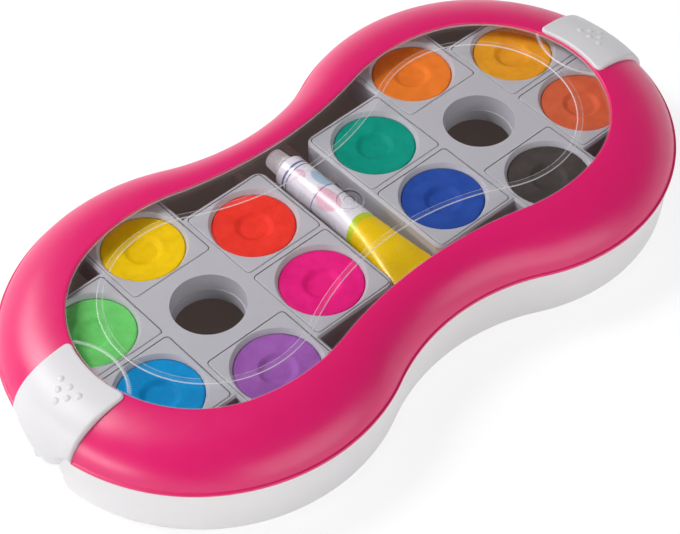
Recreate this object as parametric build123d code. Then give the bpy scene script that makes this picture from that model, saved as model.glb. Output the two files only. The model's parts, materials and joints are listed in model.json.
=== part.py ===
from build123d import *
import math
import os
from dataclasses import dataclass

# Gouache paint set box: a figure-of-eight tub with a domed lid frame around a clear
# window, a snap latch at each end, two lift-out trays of paint pans and a paint tube.
# Millimetres. X runs along the box, Y to the back, Z up from the surface it stands on.

# ---- lid frame: room round the trays and the tube, dome and widths of the ring ----
lid_end_space = 19.3
lid_corner_space = 6.25
lid_waist_space = 12.1
lid_wall = 1.5
dome_sink = 1.6
dome_rise = 15.9
dome_steps = 6
bead_height = 1.6
bead_proud = 0.4
ring_end_width = 24.7
ring_corner_width = 25.4
ring_shoulder_step = 3.9
ring_waist_width = 16.9
end_angle = 73.0

# ---- clear window ----
window_recess = 0.5
window_gap = 0.12
window_flange_width = 1.5
window_flange_thickness = 1.3
window_seat_gap = 0.2
ridge_end_inset = 12.3
ridge_corner_inset = 8.7
ridge_waist_inset = 17.3
ridge_width = 2.2
ridge_height = 0.6
end_arc_outset = 14.8
end_arc_radius = 23.2
end_arc_width = 1.3
end_arc_height = 0.4
centre_ring_radius = 4.7
centre_ring_width = 1.0

# ---- tub ----
base_height = 23.8
seam_gap = 0.3
base_setback = 0.5
base_taper = 1.5
base_wall = 1.8
base_floor = 1.8
base_edge_radius = 2.4
ledge_width = 4.8
ledge_thickness = 1.6
lip_gap = 2.0
lip_thickness = 1.4
lip_height = 3.2
foot_rim_width = 6.0
foot_rim_height = 0.8
scoop_radius = 22.0
scoop_depth = 9.8

# ---- latches and their hinge pins ----
latch_half_width = 16.0
latch_gap = 0.3
latch_proud = 1.2
latch_strip_width = 1.9
latch_corner_radius = 3.0
tongue_start_height = 3.2
tongue_apex_drop = 15.3
tongue_radius = 9.0
tongue_lean = 1.2
hinge_inset = 5.0
hinge_drop = 7.8
barrel_radius = 2.6
barrel_half_length = 7.5
barrel_web_height = 3.2
pin_radius = 1.2
pin_end_length = 3.3
pin_running_gap = 0.05
pin_seat_gap = 0.02
pin_boss_length = 5.0
pin_boss_height = 8.0
pin_boss_depth = 7.0
dot_radius = 1.5
dot_height = 0.5
dot_pitch = 4.9
dot_row_pitch = 3.1
dot_first_row_inset = 13.8

# ---- trays ----
tray_drop = 5.0
tray_depth = 12.0
tray_wall = 1.7
tray_rim = 1.35
tray_corner_radius = 4.0
tray_edge_chamfer = 0.8
tray_top_thickness = 1.8
tray_ledge_width = 1.5
tray_ledge_thickness = 1.2
cup_margin = 3.4
cup_throat_step = 0.8
cup_step_depth = 7.0
cup_step = 0.4
collar_wall = 1.4

# ---- pans and paint tablets ----
pan_size = 33.45
pan_corner_radius = 1.5
pan_depth = 9.0
pan_gap = 0.3
pan_floor = 1.5
pan_rim_width = 1.725
pan_lip_width = 1.2
paint_gap = 0.1
paint_drop = 1.6
paint_dish = 0.5
dimple_radius = 6.2
dimple_depth = 0.6
dimple_slope = 0.9
seat_gap = 0.1

# ---- liner of the storage space under the trays ----
liner_gap = 0.5
liner_wall = 1.2
liner_floor = 1.2
liner_top_gap = 0.2
partition_thickness = 2.4
post_radius = 4.0
end_post_inset = 4.0
end_post_corner_inset = 6.2
side_post_inset = 2.4

# ---- tube of white paint, lying across the waist ----
tube_radius = 6.5
tube_axis_drop = 10.5
tube_gap = 0.3
tube_side_gap = 0.475
tube_shoulder_y = 32.5
tube_round_y = 4.0
tube_fold_y = -38.0
tube_fold_length = 4.5
tube_fold_half_width = 10.2
tube_fold_thickness = 1.4
tube_steps = 4
tube_fold_curve = 1.4
neck_radius = 3.0
neck_length = 7.0
shoulder_length = 1.6
shoulder_end_radius = 4.4
cap_radius = 4.9
cap_end_radius = 4.3
cap_length = 9.0
cap_flutes = 16
cap_flute_radius = 0.35
cap_flute_length = 7.2
cap_edge_chamfer = 0.5
cap_running_gap = 0.06
saddle_y = 20.0
saddle_thickness = 4.0
saddle_wrap = 2.5
saddle_side_gap = 0.6

# ---- how far cutting solids run past what they cut ----
over = 1.0
above_z = 80.0

LEFT = -1
RIGHT = 1

# column (towards the box's end, middle, towards the waist) and row of each colour
TRAY_COLOURS = {
    "left": {
        "green": (-1, 0.5),
        "light_blue": (-1, -0.5),
        "yellow": (0, 1),
        "violet": (0, -1),
        "red": (1, 0.5),
        "magenta": (1, -0.5),
    },
    "right": {
        "turquoise": (-1, 0.5),
        "ultramarine": (-1, -0.5),
        "orange": (0, 1),
        "black": (0, -1),
        "ochre": (1, 0.5),
        "sienna": (1, -0.5),
    },
}

# ---- sizes that follow from the ones above ----
lid_edge_z = base_height + seam_gap
dome_centre_z = base_height - dome_sink
crest_z = dome_centre_z + dome_rise
tongue_start_z = base_height + tongue_start_height
tongue_apex_z = base_height - tongue_apex_drop
hinge_z = base_height - hinge_drop
liner_top_z = base_height - ledge_thickness - liner_top_gap
tray_top_z = crest_z - tray_drop
tube_axis_z = crest_z - tube_axis_drop
tray_bottom_z = tray_top_z - tray_depth
pan_bottom_z = tray_top_z - pan_depth
paint_floor_z = pan_bottom_z + pan_floor
paint_top_z = tray_top_z - paint_drop
liner_floor_z = base_floor + liner_floor
support_z = tray_bottom_z - seat_gap
paint_radius = pan_size / 2 - pan_rim_width
pan_lip_radius = paint_radius + pan_lip_width
cup_radius = pan_size / 2 - cup_margin
cup_throat_radius = cup_radius - cup_throat_step
pan_pitch = pan_size + 2 * pan_gap + tray_wall
tray_half_side = pan_size / 2 + pan_gap + tray_rim
tray_half_width = pan_pitch / 2 + tray_half_side
tray_half_length = pan_pitch + tray_half_side
tray_inner_x = tube_fold_half_width + tube_side_gap
tray_x = tray_inner_x + tray_half_length
partition_x = tray_inner_x + tray_rim / 2
tube_end_y = tube_shoulder_y + shoulder_length + tube_gap + cap_length

lid_half_length = tray_x + tray_half_length + lid_end_space
lid_lobe_radius = math.hypot(tray_half_length, tray_half_width) + lid_corner_space
lid_waist_half_width = tube_end_y + lid_waist_space
window_half_length = lid_half_length - ring_end_width
window_end_radius = lid_lobe_radius - ring_corner_width
window_shoulder_radius = lid_lobe_radius - ring_shoulder_step
window_waist_half_width = lid_waist_half_width - ring_waist_width
ridge_half_length = window_half_length - ridge_end_inset
ridge_lobe_radius = window_end_radius - ridge_corner_inset
ridge_waist_half_width = window_waist_half_width - ridge_waist_inset
end_arc_centre_x = window_half_length + end_arc_outset
dot_first_row_x = lid_half_length - dot_first_row_inset
hinge_x = lid_half_length - hinge_inset
scoop_x = lid_half_length - scoop_depth + scoop_radius
boss_y = math.sqrt(scoop_radius**2 - (scoop_x - hinge_x) ** 2)
pin_half_length = boss_y + pin_end_length
boss_reach = math.hypot(scoop_x - hinge_x + pin_boss_depth / 2, boss_y + pin_boss_length)
liner_inset = base_setback + ledge_width + liner_gap


@dataclass(frozen=True)
class Outline:
    """A closed figure-of-eight of tangent arcs: end, shoulder and waist arcs."""

    half_length: float
    end_radius: float
    shoulder_radius: float
    end_angle: float
    waist: float

    def grown(self, distance):
        """The outline set outwards by a distance, or inwards by a negative one."""
        return Outline(
            self.half_length + distance,
            self.end_radius + distance,
            self.shoulder_radius + distance,
            self.end_angle,
            self.waist + distance,
        )

    def towards(self, other, share):
        """The outline that lies a share of the way to another one."""
        return Outline(
            self.half_length + (other.half_length - self.half_length) * share,
            self.end_radius + (other.end_radius - self.end_radius) * share,
            self.shoulder_radius + (other.shoulder_radius - self.shoulder_radius) * share,
            self.end_angle + (other.end_angle - self.end_angle) * share,
            self.waist + (other.waist - self.waist) * share,
        )

    def wire(self, z):
        """The outline as a closed wire of eight arcs at height z."""
        turn = math.radians(self.end_angle)
        end_x = self.half_length - self.end_radius
        extra = self.shoulder_radius - self.end_radius
        centre_x = end_x - extra * math.cos(turn)
        centre_y = -extra * math.sin(turn)
        rise = self.waist - centre_y
        waist_radius = (centre_x**2 + rise**2 - self.shoulder_radius**2) / (
            2 * (self.shoulder_radius - rise)
        )
        to_waist = math.atan2(self.waist + waist_radius - centre_y, -centre_x)
        middle = (turn + to_waist) / 2
        joint = (end_x + self.end_radius * math.cos(turn), self.end_radius * math.sin(turn))
        bend = self._on_shoulder(centre_x, centre_y, middle)
        neck = self._on_shoulder(centre_x, centre_y, to_waist)

        def at(point, side, row):
            return (side * point[0], row * point[1], z)

        arcs = [
            (at(joint, RIGHT, -1), (self.half_length, 0, z), at(joint, RIGHT, 1)),
            (at(joint, RIGHT, 1), at(bend, RIGHT, 1), at(neck, RIGHT, 1)),
            (at(neck, RIGHT, 1), (0, self.waist, z), at(neck, LEFT, 1)),
            (at(neck, LEFT, 1), at(bend, LEFT, 1), at(joint, LEFT, 1)),
            (at(joint, LEFT, 1), (-self.half_length, 0, z), at(joint, LEFT, -1)),
            (at(joint, LEFT, -1), at(bend, LEFT, -1), at(neck, LEFT, -1)),
            (at(neck, LEFT, -1), (0, -self.waist, z), at(neck, RIGHT, -1)),
            (at(neck, RIGHT, -1), at(bend, RIGHT, -1), at(joint, RIGHT, -1)),
        ]
        return Wire([Edge.make_three_point_arc(*points) for points in arcs])

    def _on_shoulder(self, centre_x, centre_y, angle):
        """The point of the shoulder arc at an angle about its centre."""
        return (
            centre_x + self.shoulder_radius * math.cos(angle),
            centre_y + self.shoulder_radius * math.sin(angle),
        )

    def slab(self, low_z, high_z):
        """A straight-walled solid of this outline between two heights."""
        return extrude(Face(self.wire(low_z)), high_z - low_z, dir=(0, 0, 1))


lid_outline = Outline(
    lid_half_length, lid_lobe_radius, lid_lobe_radius, end_angle, lid_waist_half_width
)
window_outline = Outline(
    window_half_length, window_end_radius, window_shoulder_radius, end_angle, window_waist_half_width
)
ridge_outline = Outline(
    ridge_half_length, ridge_lobe_radius, ridge_lobe_radius, end_angle, ridge_waist_half_width
)
base_outline = lid_outline.grown(-base_setback)


def between(low, high):
    """A ruled solid between two wires."""
    return Solid.make_loft([low, high], ruled=True)


def dome(growth):
    """The lid's domed solid, grown outwards: a quarter ellipse carried round the outlines."""
    foot = lid_outline.grown(growth)
    rise = dome_rise + growth
    start = math.asin((lid_edge_z - dome_centre_z) / rise)
    sections = []
    for step in range(dome_steps + 1):
        angle = start + (math.pi / 2 - start) * step / dome_steps
        outline = foot.towards(window_outline, 1 - math.cos(angle))
        sections.append(outline.wire(dome_centre_z + rise * math.sin(angle)))
    return Solid.make_loft(sections)


def upright(radius, x, low_z, high_z, y=0):
    """An upright cylinder."""
    return Pos(x, y, low_z) * extrude(Circle(radius), high_z - low_z)


def block(low, high):
    """A box between two opposite corners."""
    size = [high[i] - low[i] for i in range(3)]
    middle = [(high[i] + low[i]) / 2 for i in range(3)]
    return Pos(*middle) * Box(*size)


def latch_plan(side, growth):
    """The latch seen from above: a strip whose inner end follows the window."""
    inner = window_outline.grown(latch_strip_width + latch_gap - growth)
    half_width = latch_half_width + growth
    reach = lid_half_length + scoop_radius
    strip = block((0, -half_width, 0), (reach, half_width, above_z))
    strip = strip - inner.slab(-over, above_z + over)
    corner_edges = strip.edges().filter_by(Axis.Z).sort_by(Axis.X)[:2]
    strip = fillet(corner_edges, latch_corner_radius + growth)
    return strip if side == RIGHT else mirror(strip, about=Plane.YZ)


def tongue_front():
    """The latch seen from its end: straight sides, then a rounded point at the bottom."""
    corners = [
        (-latch_half_width, above_z),
        (-latch_half_width, tongue_start_z),
        (0, tongue_apex_z),
        (latch_half_width, tongue_start_z),
        (latch_half_width, above_z),
    ]
    profile = make_face(Polyline(*corners, close=True))
    tip = profile.vertices().sort_by(Axis.Y)[0]
    profile = fillet(tip, tongue_radius)
    reach = 2 * (lid_half_length + scoop_radius)
    return extrude(Plane.YZ * profile, reach, both=True)


def latch_skin(growth):
    """The dome carried on downwards, leaning in towards the foot of the tongue."""
    foot = lid_outline.grown(growth)
    lower = between(foot.grown(-tongue_lean).wire(tongue_apex_z), foot.wire(lid_edge_z))
    return dome(growth) + lower


def pin_cylinder(radius, half_length):
    """A cylinder along the right hinge's axis."""
    return Pos(hinge_x, 0, hinge_z) * Rot(90, 0, 0) * Cylinder(radius, 2 * half_length)


def latch_dots():
    """Six low domes in a triangle that points outwards, standing on the latch."""
    ball_radius = (dot_radius**2 + dot_height**2) / (2 * dot_height)
    foot = lid_outline.grown(latch_proud)
    rise = dome_rise + latch_proud
    dots = []
    for row in range(3):
        for place in range(3 - row):
            x = dot_first_row_x + row * dot_row_pitch
            y = (place - (2 - row) / 2) * dot_pitch
            run = foot.half_length - window_half_length
            across = 1 - (foot.half_length - math.hypot(x, y)) / run
            up = math.sqrt(1 - across**2)
            tilt = math.degrees(math.atan2(rise * across, run * up))
            seat = Pos(x, y, dome_centre_z + rise * up) * Rot(0, tilt, 0)
            dots.append(seat * Pos(0, 0, dot_height - ball_radius) * Sphere(ball_radius))
    return dots


def make_latch(side):
    """A latch: a bent plate over the lid's shoulder with a hinge barrel behind its tongue."""
    outer = latch_skin(latch_proud)
    plate = (outer - latch_skin(-lid_wall)) & latch_plan(RIGHT, 0) & tongue_front()
    cover = outer & latch_plan(RIGHT, 0)
    upper = block((0, -latch_half_width, lid_edge_z), (lid_half_length, latch_half_width, above_z))
    for dot in latch_dots():
        plate = plate + ((dot & upper) - cover)
    web_half = barrel_web_height / 2
    web = block(
        (hinge_x, -barrel_half_length, hinge_z - web_half),
        (lid_half_length, barrel_half_length, hinge_z + web_half),
    )
    plate = plate + pin_cylinder(barrel_radius, barrel_half_length) + (web & outer)
    plate = plate - pin_cylinder(pin_radius + pin_running_gap, latch_half_width)
    return plate if side == RIGHT else mirror(plate, about=Plane.YZ)


def make_hinge_pin(side):
    """A plain steel pin along Y at the foot of a latch."""
    pin = pin_cylinder(pin_radius, pin_half_length)
    return pin if side == RIGHT else mirror(pin, about=Plane.YZ)


def at_both_ends(shape):
    """A shape at the right end together with its mirror image at the left end."""
    return [shape, mirror(shape, about=Plane.YZ)]


def make_base_shell():
    """The white tub: tapering walls, ledge and locating lip, with a finger scoop at each end."""
    bottom = base_outline.grown(-base_taper)
    body = between(bottom.wire(0), base_outline.wire(base_height))
    low_edges = body.edges().group_by(Axis.Z)[0]
    body = fillet(low_edges, base_edge_radius)

    ledge_z = base_height - ledge_thickness
    cavity = between(bottom.grown(-base_wall).wire(base_floor), base_outline.grown(-base_wall).wire(ledge_z))
    mouth = base_outline.grown(-ledge_width).slab(ledge_z - base_wall, base_height + over)
    lip_outline = lid_outline.grown(-lid_wall - lip_gap)
    lip = lip_outline.slab(base_height - ledge_thickness / 2, base_height + lip_height)
    lip_top = base_height + lip_height
    lip_bore = lip_outline.grown(-lip_thickness).slab(0, lip_top + over)
    for scoop_wall in at_both_ends(upright(scoop_radius + base_wall, scoop_x, 0, base_height)):
        cavity = cavity - scoop_wall
        mouth = mouth - scoop_wall
    body = body - cavity - mouth
    for scoop_lip in at_both_ends(upright(scoop_radius + base_wall, scoop_x, 0, lip_top + over)):
        lip_bore = lip_bore - scoop_lip
    body = body + (lip - lip_bore)

    inside = base_outline.grown(-(base_wall + base_taper) / 2).slab(0, base_height)
    for row in (1, -1):
        boss_edge = row * (boss_y + pin_boss_length)
        low = (hinge_x - pin_boss_depth / 2, min(0, boss_edge), hinge_z - pin_boss_height / 2)
        high = (hinge_x + pin_boss_depth / 2, max(0, boss_edge), hinge_z + pin_boss_height / 2)
        for boss in at_both_ends(block(low, high) & inside):
            body = body + boss
    for scoop in at_both_ends(upright(scoop_radius, scoop_x, -over, lip_top + over)):
        body = body - scoop
    for hole in at_both_ends(pin_cylinder(pin_radius + pin_seat_gap, pin_half_length + pin_seat_gap)):
        body = body - hole
    foot_inset = base_edge_radius + foot_rim_width
    recess = bottom.grown(-foot_inset).slab(-over, foot_rim_height)
    for rim in at_both_ends(upright(scoop_radius + foot_inset, scoop_x, -over, base_height)):
        recess = recess - rim
    return body - recess


def liner_block(inset, low_z, high_z):
    """A solid inside the tub that keeps clear of the finger scoops and the pin bosses."""
    solid = lid_outline.grown(-inset).slab(low_z, high_z)
    keep_out = boss_reach + inset - base_setback - ledge_width
    for scoop in at_both_ends(upright(keep_out, scoop_x, low_z - over, high_z + over)):
        solid = solid - scoop
    return solid


def tray_posts():
    """Places of the posts that carry one tray at its outer end and its two sides."""
    end_x = tray_half_length - end_post_inset
    end_y = tray_half_width - end_post_corner_inset
    side_y = tray_half_length - side_post_inset
    return [(end_x, end_y), (end_x, -end_y), (0, side_y), (0, -side_y)]


def make_storage_liner():
    """The dark tub under the trays, with posts, two partitions and rests for the tube."""
    liner = liner_block(liner_inset, base_floor, liner_top_z)
    liner = liner - liner_block(liner_inset + liner_wall, liner_floor_z, liner_top_z + over)
    room = liner_block(liner_inset + liner_wall / 2, base_floor, support_z)
    partition = Box(partition_thickness, 2 * lid_lobe_radius, support_z)
    for side in (LEFT, RIGHT):
        liner = liner + (Pos(side * partition_x, 0, support_z / 2) * partition & room)
        for x, y in tray_posts():
            liner = liner + upright(post_radius, side * (tray_x + x), base_floor, support_z, y)
    return liner + tube_saddle(1) + tube_saddle(-1)


def tube_saddle(row):
    """A rest under the tube: a cradle at its round end, a flat bar at its pressed end."""
    bed_y = row * saddle_y
    bed = tube_axis_z - tube_half_height(bed_y + saddle_thickness / 2) - tube_gap
    top = max(bed, (row + 1) / 2 * (tube_axis_z - saddle_wrap))
    half = saddle_thickness / 2
    low = block((-partition_x, bed_y - half, base_floor), (partition_x, bed_y + half, support_z))
    reach = tray_inner_x - saddle_side_gap
    high = block((-reach, bed_y - half, liner_floor_z), (reach, bed_y + half, top))
    if row > 0:
        cradle = Rot(90, 0, 0) * Cylinder(tube_radius + tube_gap, 2 * saddle_thickness)
        high = high - Pos(0, bed_y, tube_axis_z) * cradle
    return low + high


def make_lid_frame():
    """The domed ring with a bead round its foot and a notch for each latch."""
    frame = dome(0) - dome(-lid_wall)
    bead = lid_outline.grown(bead_proud).slab(lid_edge_z, lid_edge_z + bead_height)
    bead = bead - lid_outline.grown(-lid_wall).slab(lid_edge_z - over, crest_z)
    frame = frame + bead
    frame = frame - window_outline.slab(0, crest_z + over)
    for side in (LEFT, RIGHT):
        frame = frame - latch_plan(side, latch_gap)
    return frame


def ridge_ring(outline, width, low_z, high_z):
    """A raised line that follows an outline."""
    ring = outline.grown(width / 2).slab(low_z, high_z)
    return ring - outline.grown(-width / 2).slab(low_z - over, high_z + over)


def make_lid_window():
    """The clear plate: a flange under the frame, a raised field and moulded ridges."""
    flange_top = crest_z - lid_wall - window_seat_gap
    field_top = crest_z - window_recess
    plate = window_outline.grown(window_flange_width).slab(flange_top - window_flange_thickness, flange_top)
    field = window_outline.grown(-window_gap)
    plate = plate + field.slab(flange_top - window_flange_thickness, field_top)
    root_z = field_top - ridge_height
    plate = plate + ridge_ring(ridge_outline, ridge_width, root_z, field_top + ridge_height)
    for centre_x in (-end_arc_centre_x, end_arc_centre_x):
        arc = upright(end_arc_radius + end_arc_width / 2, centre_x, root_z, field_top + end_arc_height)
        arc = arc - upright(end_arc_radius - end_arc_width / 2, centre_x, 0, above_z)
        plate = plate + (arc & field.slab(0, above_z))
    ring = upright(centre_ring_radius, 0, root_z, field_top + ridge_height)
    ring = ring - upright(centre_ring_radius - centre_ring_width, 0, field_top, above_z)
    return plate + ring


def tray_outline():
    """The stepped plan of a tray: a long middle column between two short ones."""
    middle = RectangleRounded(2 * tray_half_side, 2 * tray_half_length, tray_corner_radius)
    sides = RectangleRounded(2 * tray_half_length, 2 * tray_half_width, tray_corner_radius)
    return middle + sides


def pan_places():
    """Places of the six pans of a tray about its middle, as columns and rows."""
    return list(TRAY_COLOURS["left"].values())


def pan_centre(column, row):
    """Centre of a pan on its tray."""
    return (column * pan_pitch, row * pan_pitch)


def make_tray(side):
    """A lift-out tray: six square pockets with ledges round a collared hole."""
    tray = extrude(Pos(0, 0, tray_bottom_z) * tray_outline(), tray_depth)
    top_edges = tray.edges().group_by(Axis.Z)[-1]
    tray = chamfer(top_edges, tray_edge_chamfer)
    ledge_z = pan_bottom_z - seat_gap
    ledge_low_z = ledge_z - tray_ledge_thickness
    pocket = pan_size + 2 * pan_gap
    half = pocket / 2
    hole = pocket - 2 * tray_ledge_width
    pocket_plan = RectangleRounded(pocket, pocket, pan_corner_radius + pan_gap)
    hole_plan = RectangleRounded(hole, hole, pan_corner_radius)
    for column, row in pan_places():
        x, y = pan_centre(column, row)
        tray = tray - Pos(x, y, ledge_z) * extrude(pocket_plan, pan_depth + over)
        tray = tray - Pos(x, y, tray_bottom_z - over) * extrude(hole_plan, tray_depth)
        tray = tray - block((x - half, y - half, tray_bottom_z - over), (x + half, y + half, ledge_low_z))
    cell = block((-half, -half, tray_bottom_z - over), (half, half, tray_top_z - tray_top_thickness))
    tray = tray - (cell - upright(cup_radius + collar_wall, 0, tray_bottom_z, tray_top_z))
    tray = tray - upright(cup_throat_radius, 0, tray_bottom_z - over, tray_top_z + over)
    mouth_z = tray_top_z - cup_step_depth / 2
    tray = tray - Pos(0, 0, mouth_z) * Cone(cup_throat_radius + cup_step, cup_radius, cup_step_depth)
    return Pos(side * tray_x, 0, 0) * tray


def make_pan(x, y):
    """A square pan with a round well whose rim slopes down to the paint."""
    plan = RectangleRounded(pan_size, pan_size, pan_corner_radius)
    pan = Pos(x, y, pan_bottom_z) * extrude(plan, pan_depth)
    well_radius = paint_radius + paint_gap
    pan = pan - upright(well_radius, x, paint_floor_z, tray_top_z + over, y)
    slope = Pos(x, y, (paint_top_z + tray_top_z) / 2) * Cone(well_radius, pan_lip_radius, paint_drop)
    return pan - slope


def make_paint(x, y):
    """A round paint tablet, slightly dished with a shallow dimple in its middle."""
    dish_z = paint_top_z - paint_dish
    dimple_z = dish_z - dimple_depth
    profile = Polyline(
        (0, paint_floor_z),
        (paint_radius, paint_floor_z),
        (paint_radius, paint_top_z),
        (dimple_radius, dish_z),
        (dimple_radius - dimple_slope, dimple_z),
        (0, dimple_z),
        close=True,
    )
    tablet = revolve(Plane.XZ * make_face(profile), Axis.Z)
    return Pos(x, y, 0) * tablet


def tube_share(y):
    """How far the tube is flattened at a place along it: 0 is round, 1 is the fold."""
    share = min(1, max(0, (tube_round_y - y) / (tube_round_y - tube_fold_y)))
    return share**tube_fold_curve


def tube_half_height(y):
    """Half the tube's height at a place along it."""
    return tube_radius + (tube_fold_thickness / 2 - tube_radius) * tube_share(y)


def make_tube_body():
    """The tube: round at its shoulder, pressed flat and folded over at its other end."""
    sections = []
    for step in range(tube_steps + 1):
        y = tube_round_y + (tube_fold_y - tube_round_y) * step / tube_steps
        half_width = tube_radius + (tube_fold_half_width - tube_radius) * tube_share(y)
        plane = Plane(origin=(0, y, tube_axis_z), x_dir=(1, 0, 0), z_dir=(0, -1, 0))
        ring = plane * Ellipse(half_width, tube_half_height(y))
        sections.append(ring.face().outer_wire())
    body = Solid.make_loft(sections)
    straight = Plane(origin=(0, tube_round_y, tube_axis_z), z_dir=(0, 1, 0))
    body = body + straight * extrude(Circle(tube_radius), tube_shoulder_y - tube_round_y)
    shoulder = Plane(origin=(0, tube_shoulder_y, tube_axis_z), z_dir=(0, 1, 0))
    taper = Cone(tube_radius, shoulder_end_radius, shoulder_length)
    body = body + shoulder * Pos(0, 0, shoulder_length / 2) * taper
    body = body + shoulder * extrude(Circle(neck_radius), shoulder_length + neck_length)
    fold = block(
        (-tube_fold_half_width, tube_fold_y - tube_fold_length, tube_axis_z - tube_fold_thickness),
        (tube_fold_half_width, tube_fold_y, tube_axis_z + tube_fold_thickness / 2),
    )
    return body + fold


def make_tube_cap():
    """The screw cap: a slightly tapering fluted cup over the tube's neck."""
    low_y = tube_shoulder_y + shoulder_length + tube_gap
    foot = Plane(origin=(0, low_y, tube_axis_z), z_dir=(0, 1, 0))
    cap = Pos(0, 0, cap_length / 2) * Cone(cap_radius, cap_end_radius, cap_length)
    cap = chamfer(cap.edges().group_by(Axis.Z)[-1], cap_edge_chamfer)
    cap = cap - extrude(Circle(neck_radius + cap_running_gap), neck_length)
    for flute in PolarLocations(cap_radius, cap_flutes):
        cap = cap - flute * extrude(Circle(cap_flute_radius), cap_flute_length)
    return foot * cap


def save(name, shape):
    """Write one piece to its own file."""
    export_step(shape, "parts/" + name + ".step")


def build_box():
    """Write every piece of the box."""
    save("base_shell", make_base_shell())
    save("storage_liner", make_storage_liner())
    save("lid_frame", make_lid_frame())
    save("lid_window", make_lid_window())
    for name, side in (("left", LEFT), ("right", RIGHT)):
        save("latch_" + name, make_latch(side))
        save("hinge_pin_" + name, make_hinge_pin(side))
        save("tray_" + name, make_tray(side))
        for colour, (column, row) in TRAY_COLOURS[name].items():
            x, y = pan_centre(column, row)
            save("pan_" + colour, make_pan(side * tray_x + x, y))
            save("paint_" + colour, make_paint(side * tray_x + x, y))
    save("tube_body", make_tube_body())
    save("tube_cap", make_tube_cap())


if __name__ == "__main__":
    os.makedirs("parts", exist_ok=True)
    build_box()
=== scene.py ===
"""Gouache paint set box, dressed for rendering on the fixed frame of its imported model."""
import json
import logging
import math
from dataclasses import dataclass, field
from enum import Enum
from typing import Iterable, Sequence

import bmesh
import bpy
import numpy as np
from mathutils import Matrix, Vector

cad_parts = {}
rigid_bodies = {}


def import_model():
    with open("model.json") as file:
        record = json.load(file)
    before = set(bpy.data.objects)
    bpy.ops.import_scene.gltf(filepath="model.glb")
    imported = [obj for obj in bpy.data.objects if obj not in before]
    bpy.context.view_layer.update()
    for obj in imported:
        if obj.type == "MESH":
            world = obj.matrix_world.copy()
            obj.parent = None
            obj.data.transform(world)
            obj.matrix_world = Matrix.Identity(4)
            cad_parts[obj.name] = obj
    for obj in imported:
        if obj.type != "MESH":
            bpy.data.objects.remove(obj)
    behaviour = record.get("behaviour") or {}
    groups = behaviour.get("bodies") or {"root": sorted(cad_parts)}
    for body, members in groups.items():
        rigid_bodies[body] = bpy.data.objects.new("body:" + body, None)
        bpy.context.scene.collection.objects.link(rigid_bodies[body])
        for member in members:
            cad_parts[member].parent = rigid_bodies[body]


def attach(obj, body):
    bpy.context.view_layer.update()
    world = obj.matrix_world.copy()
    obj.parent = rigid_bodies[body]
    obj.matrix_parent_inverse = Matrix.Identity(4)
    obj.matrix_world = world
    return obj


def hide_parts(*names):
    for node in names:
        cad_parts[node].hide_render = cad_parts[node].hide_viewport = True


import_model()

LOG = logging.getLogger("paint_box")
MM = 0.001
Colour = tuple[float, float, float]
Mesh, Object, Material = bpy.types.Mesh, bpy.types.Object, bpy.types.Material
Node, Socket = bpy.types.Node, bpy.types.NodeSocket


class Side(Enum):
    """The two ends of the box, with their direction along X."""

    LEFT = -1
    RIGHT = 1

    @property
    def label(self) -> str:
        """The word used in node names."""
        return self.name.lower()


# --------------------------------------------------------------------------- shapes


@dataclass(frozen=True)
class Outline:
    """A closed figure-of-eight of tangent arcs, in millimetres."""

    half_length: float
    end_radius: float
    shoulder_radius: float
    waist: float
    end_angle: float = 73.0

    def grown(self, distance: float) -> "Outline":
        """The outline set outwards by a distance: every radius and reach gains it."""
        return Outline(
            self.half_length + distance,
            self.end_radius + distance,
            self.shoulder_radius + distance,
            self.waist + distance,
            self.end_angle,
        )

    def towards(self, other: "Outline", share: float) -> "Outline":
        """The outline a share of the way to another: each size is mixed linearly."""
        return Outline(
            self.half_length + (other.half_length - self.half_length) * share,
            self.end_radius + (other.end_radius - self.end_radius) * share,
            self.shoulder_radius + (other.shoulder_radius - self.shoulder_radius) * share,
            self.waist + (other.waist - self.waist) * share,
            self.end_angle,
        )

    def end_centre(self) -> float:
        """Distance of the end arc's centre from the middle: half length less radius."""
        return self.half_length - self.end_radius

    def loop(
        self, end_steps: int = 96, shoulder_steps: int = 36, waist_steps: int = 56
    ) -> np.ndarray:
        """Points of the outline, counter-clockwise from the right end's lower joint.

        Each arc is centre + radius * (cos a, sin a). The shoulder's centre lies on the
        line from the end arc's centre through their joint, and the waist's radius is
        the one that touches both shoulders from outside.

        Args:
            end_steps: Points on each end arc.
            shoulder_steps: Points on each shoulder arc.
            waist_steps: Points on each waist arc.

        Returns:
            Array of shape (points, 2).
        """
        turn = math.radians(self.end_angle)
        extra = self.shoulder_radius - self.end_radius
        end_x = self.end_centre()
        sx, sy = end_x - extra * math.cos(turn), -extra * math.sin(turn)
        rise = self.waist - sy
        hollow = (sx**2 + rise**2 - self.shoulder_radius**2) / (2 * (self.shoulder_radius - rise))
        lean = math.atan2(self.waist + hollow - sy, -sx)
        wy = self.waist + hollow
        pi = math.pi
        big, small = self.shoulder_radius, self.end_radius
        arcs = [
            (end_x, 0.0, small, -turn, turn, end_steps),
            (sx, sy, big, turn, lean, shoulder_steps),
            (0.0, wy, hollow, lean - pi, -lean, waist_steps),
            (-sx, sy, big, pi - lean, pi - turn, shoulder_steps),
            (-end_x, 0.0, small, pi - turn, pi + turn, end_steps),
            (-sx, -sy, big, pi + turn, pi + lean, shoulder_steps),
            (0.0, -wy, hollow, lean, pi - lean, waist_steps),
            (sx, -sy, big, -lean, -turn, shoulder_steps),
        ]
        parts = []
        for cx, cy, radius, start, stop, steps in arcs:
            angle = np.linspace(start, stop, steps, endpoint=False)
            parts.append(np.stack([cx + radius * np.cos(angle), cy + radius * np.sin(angle)], -1))
        return np.concatenate(parts)


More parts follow.
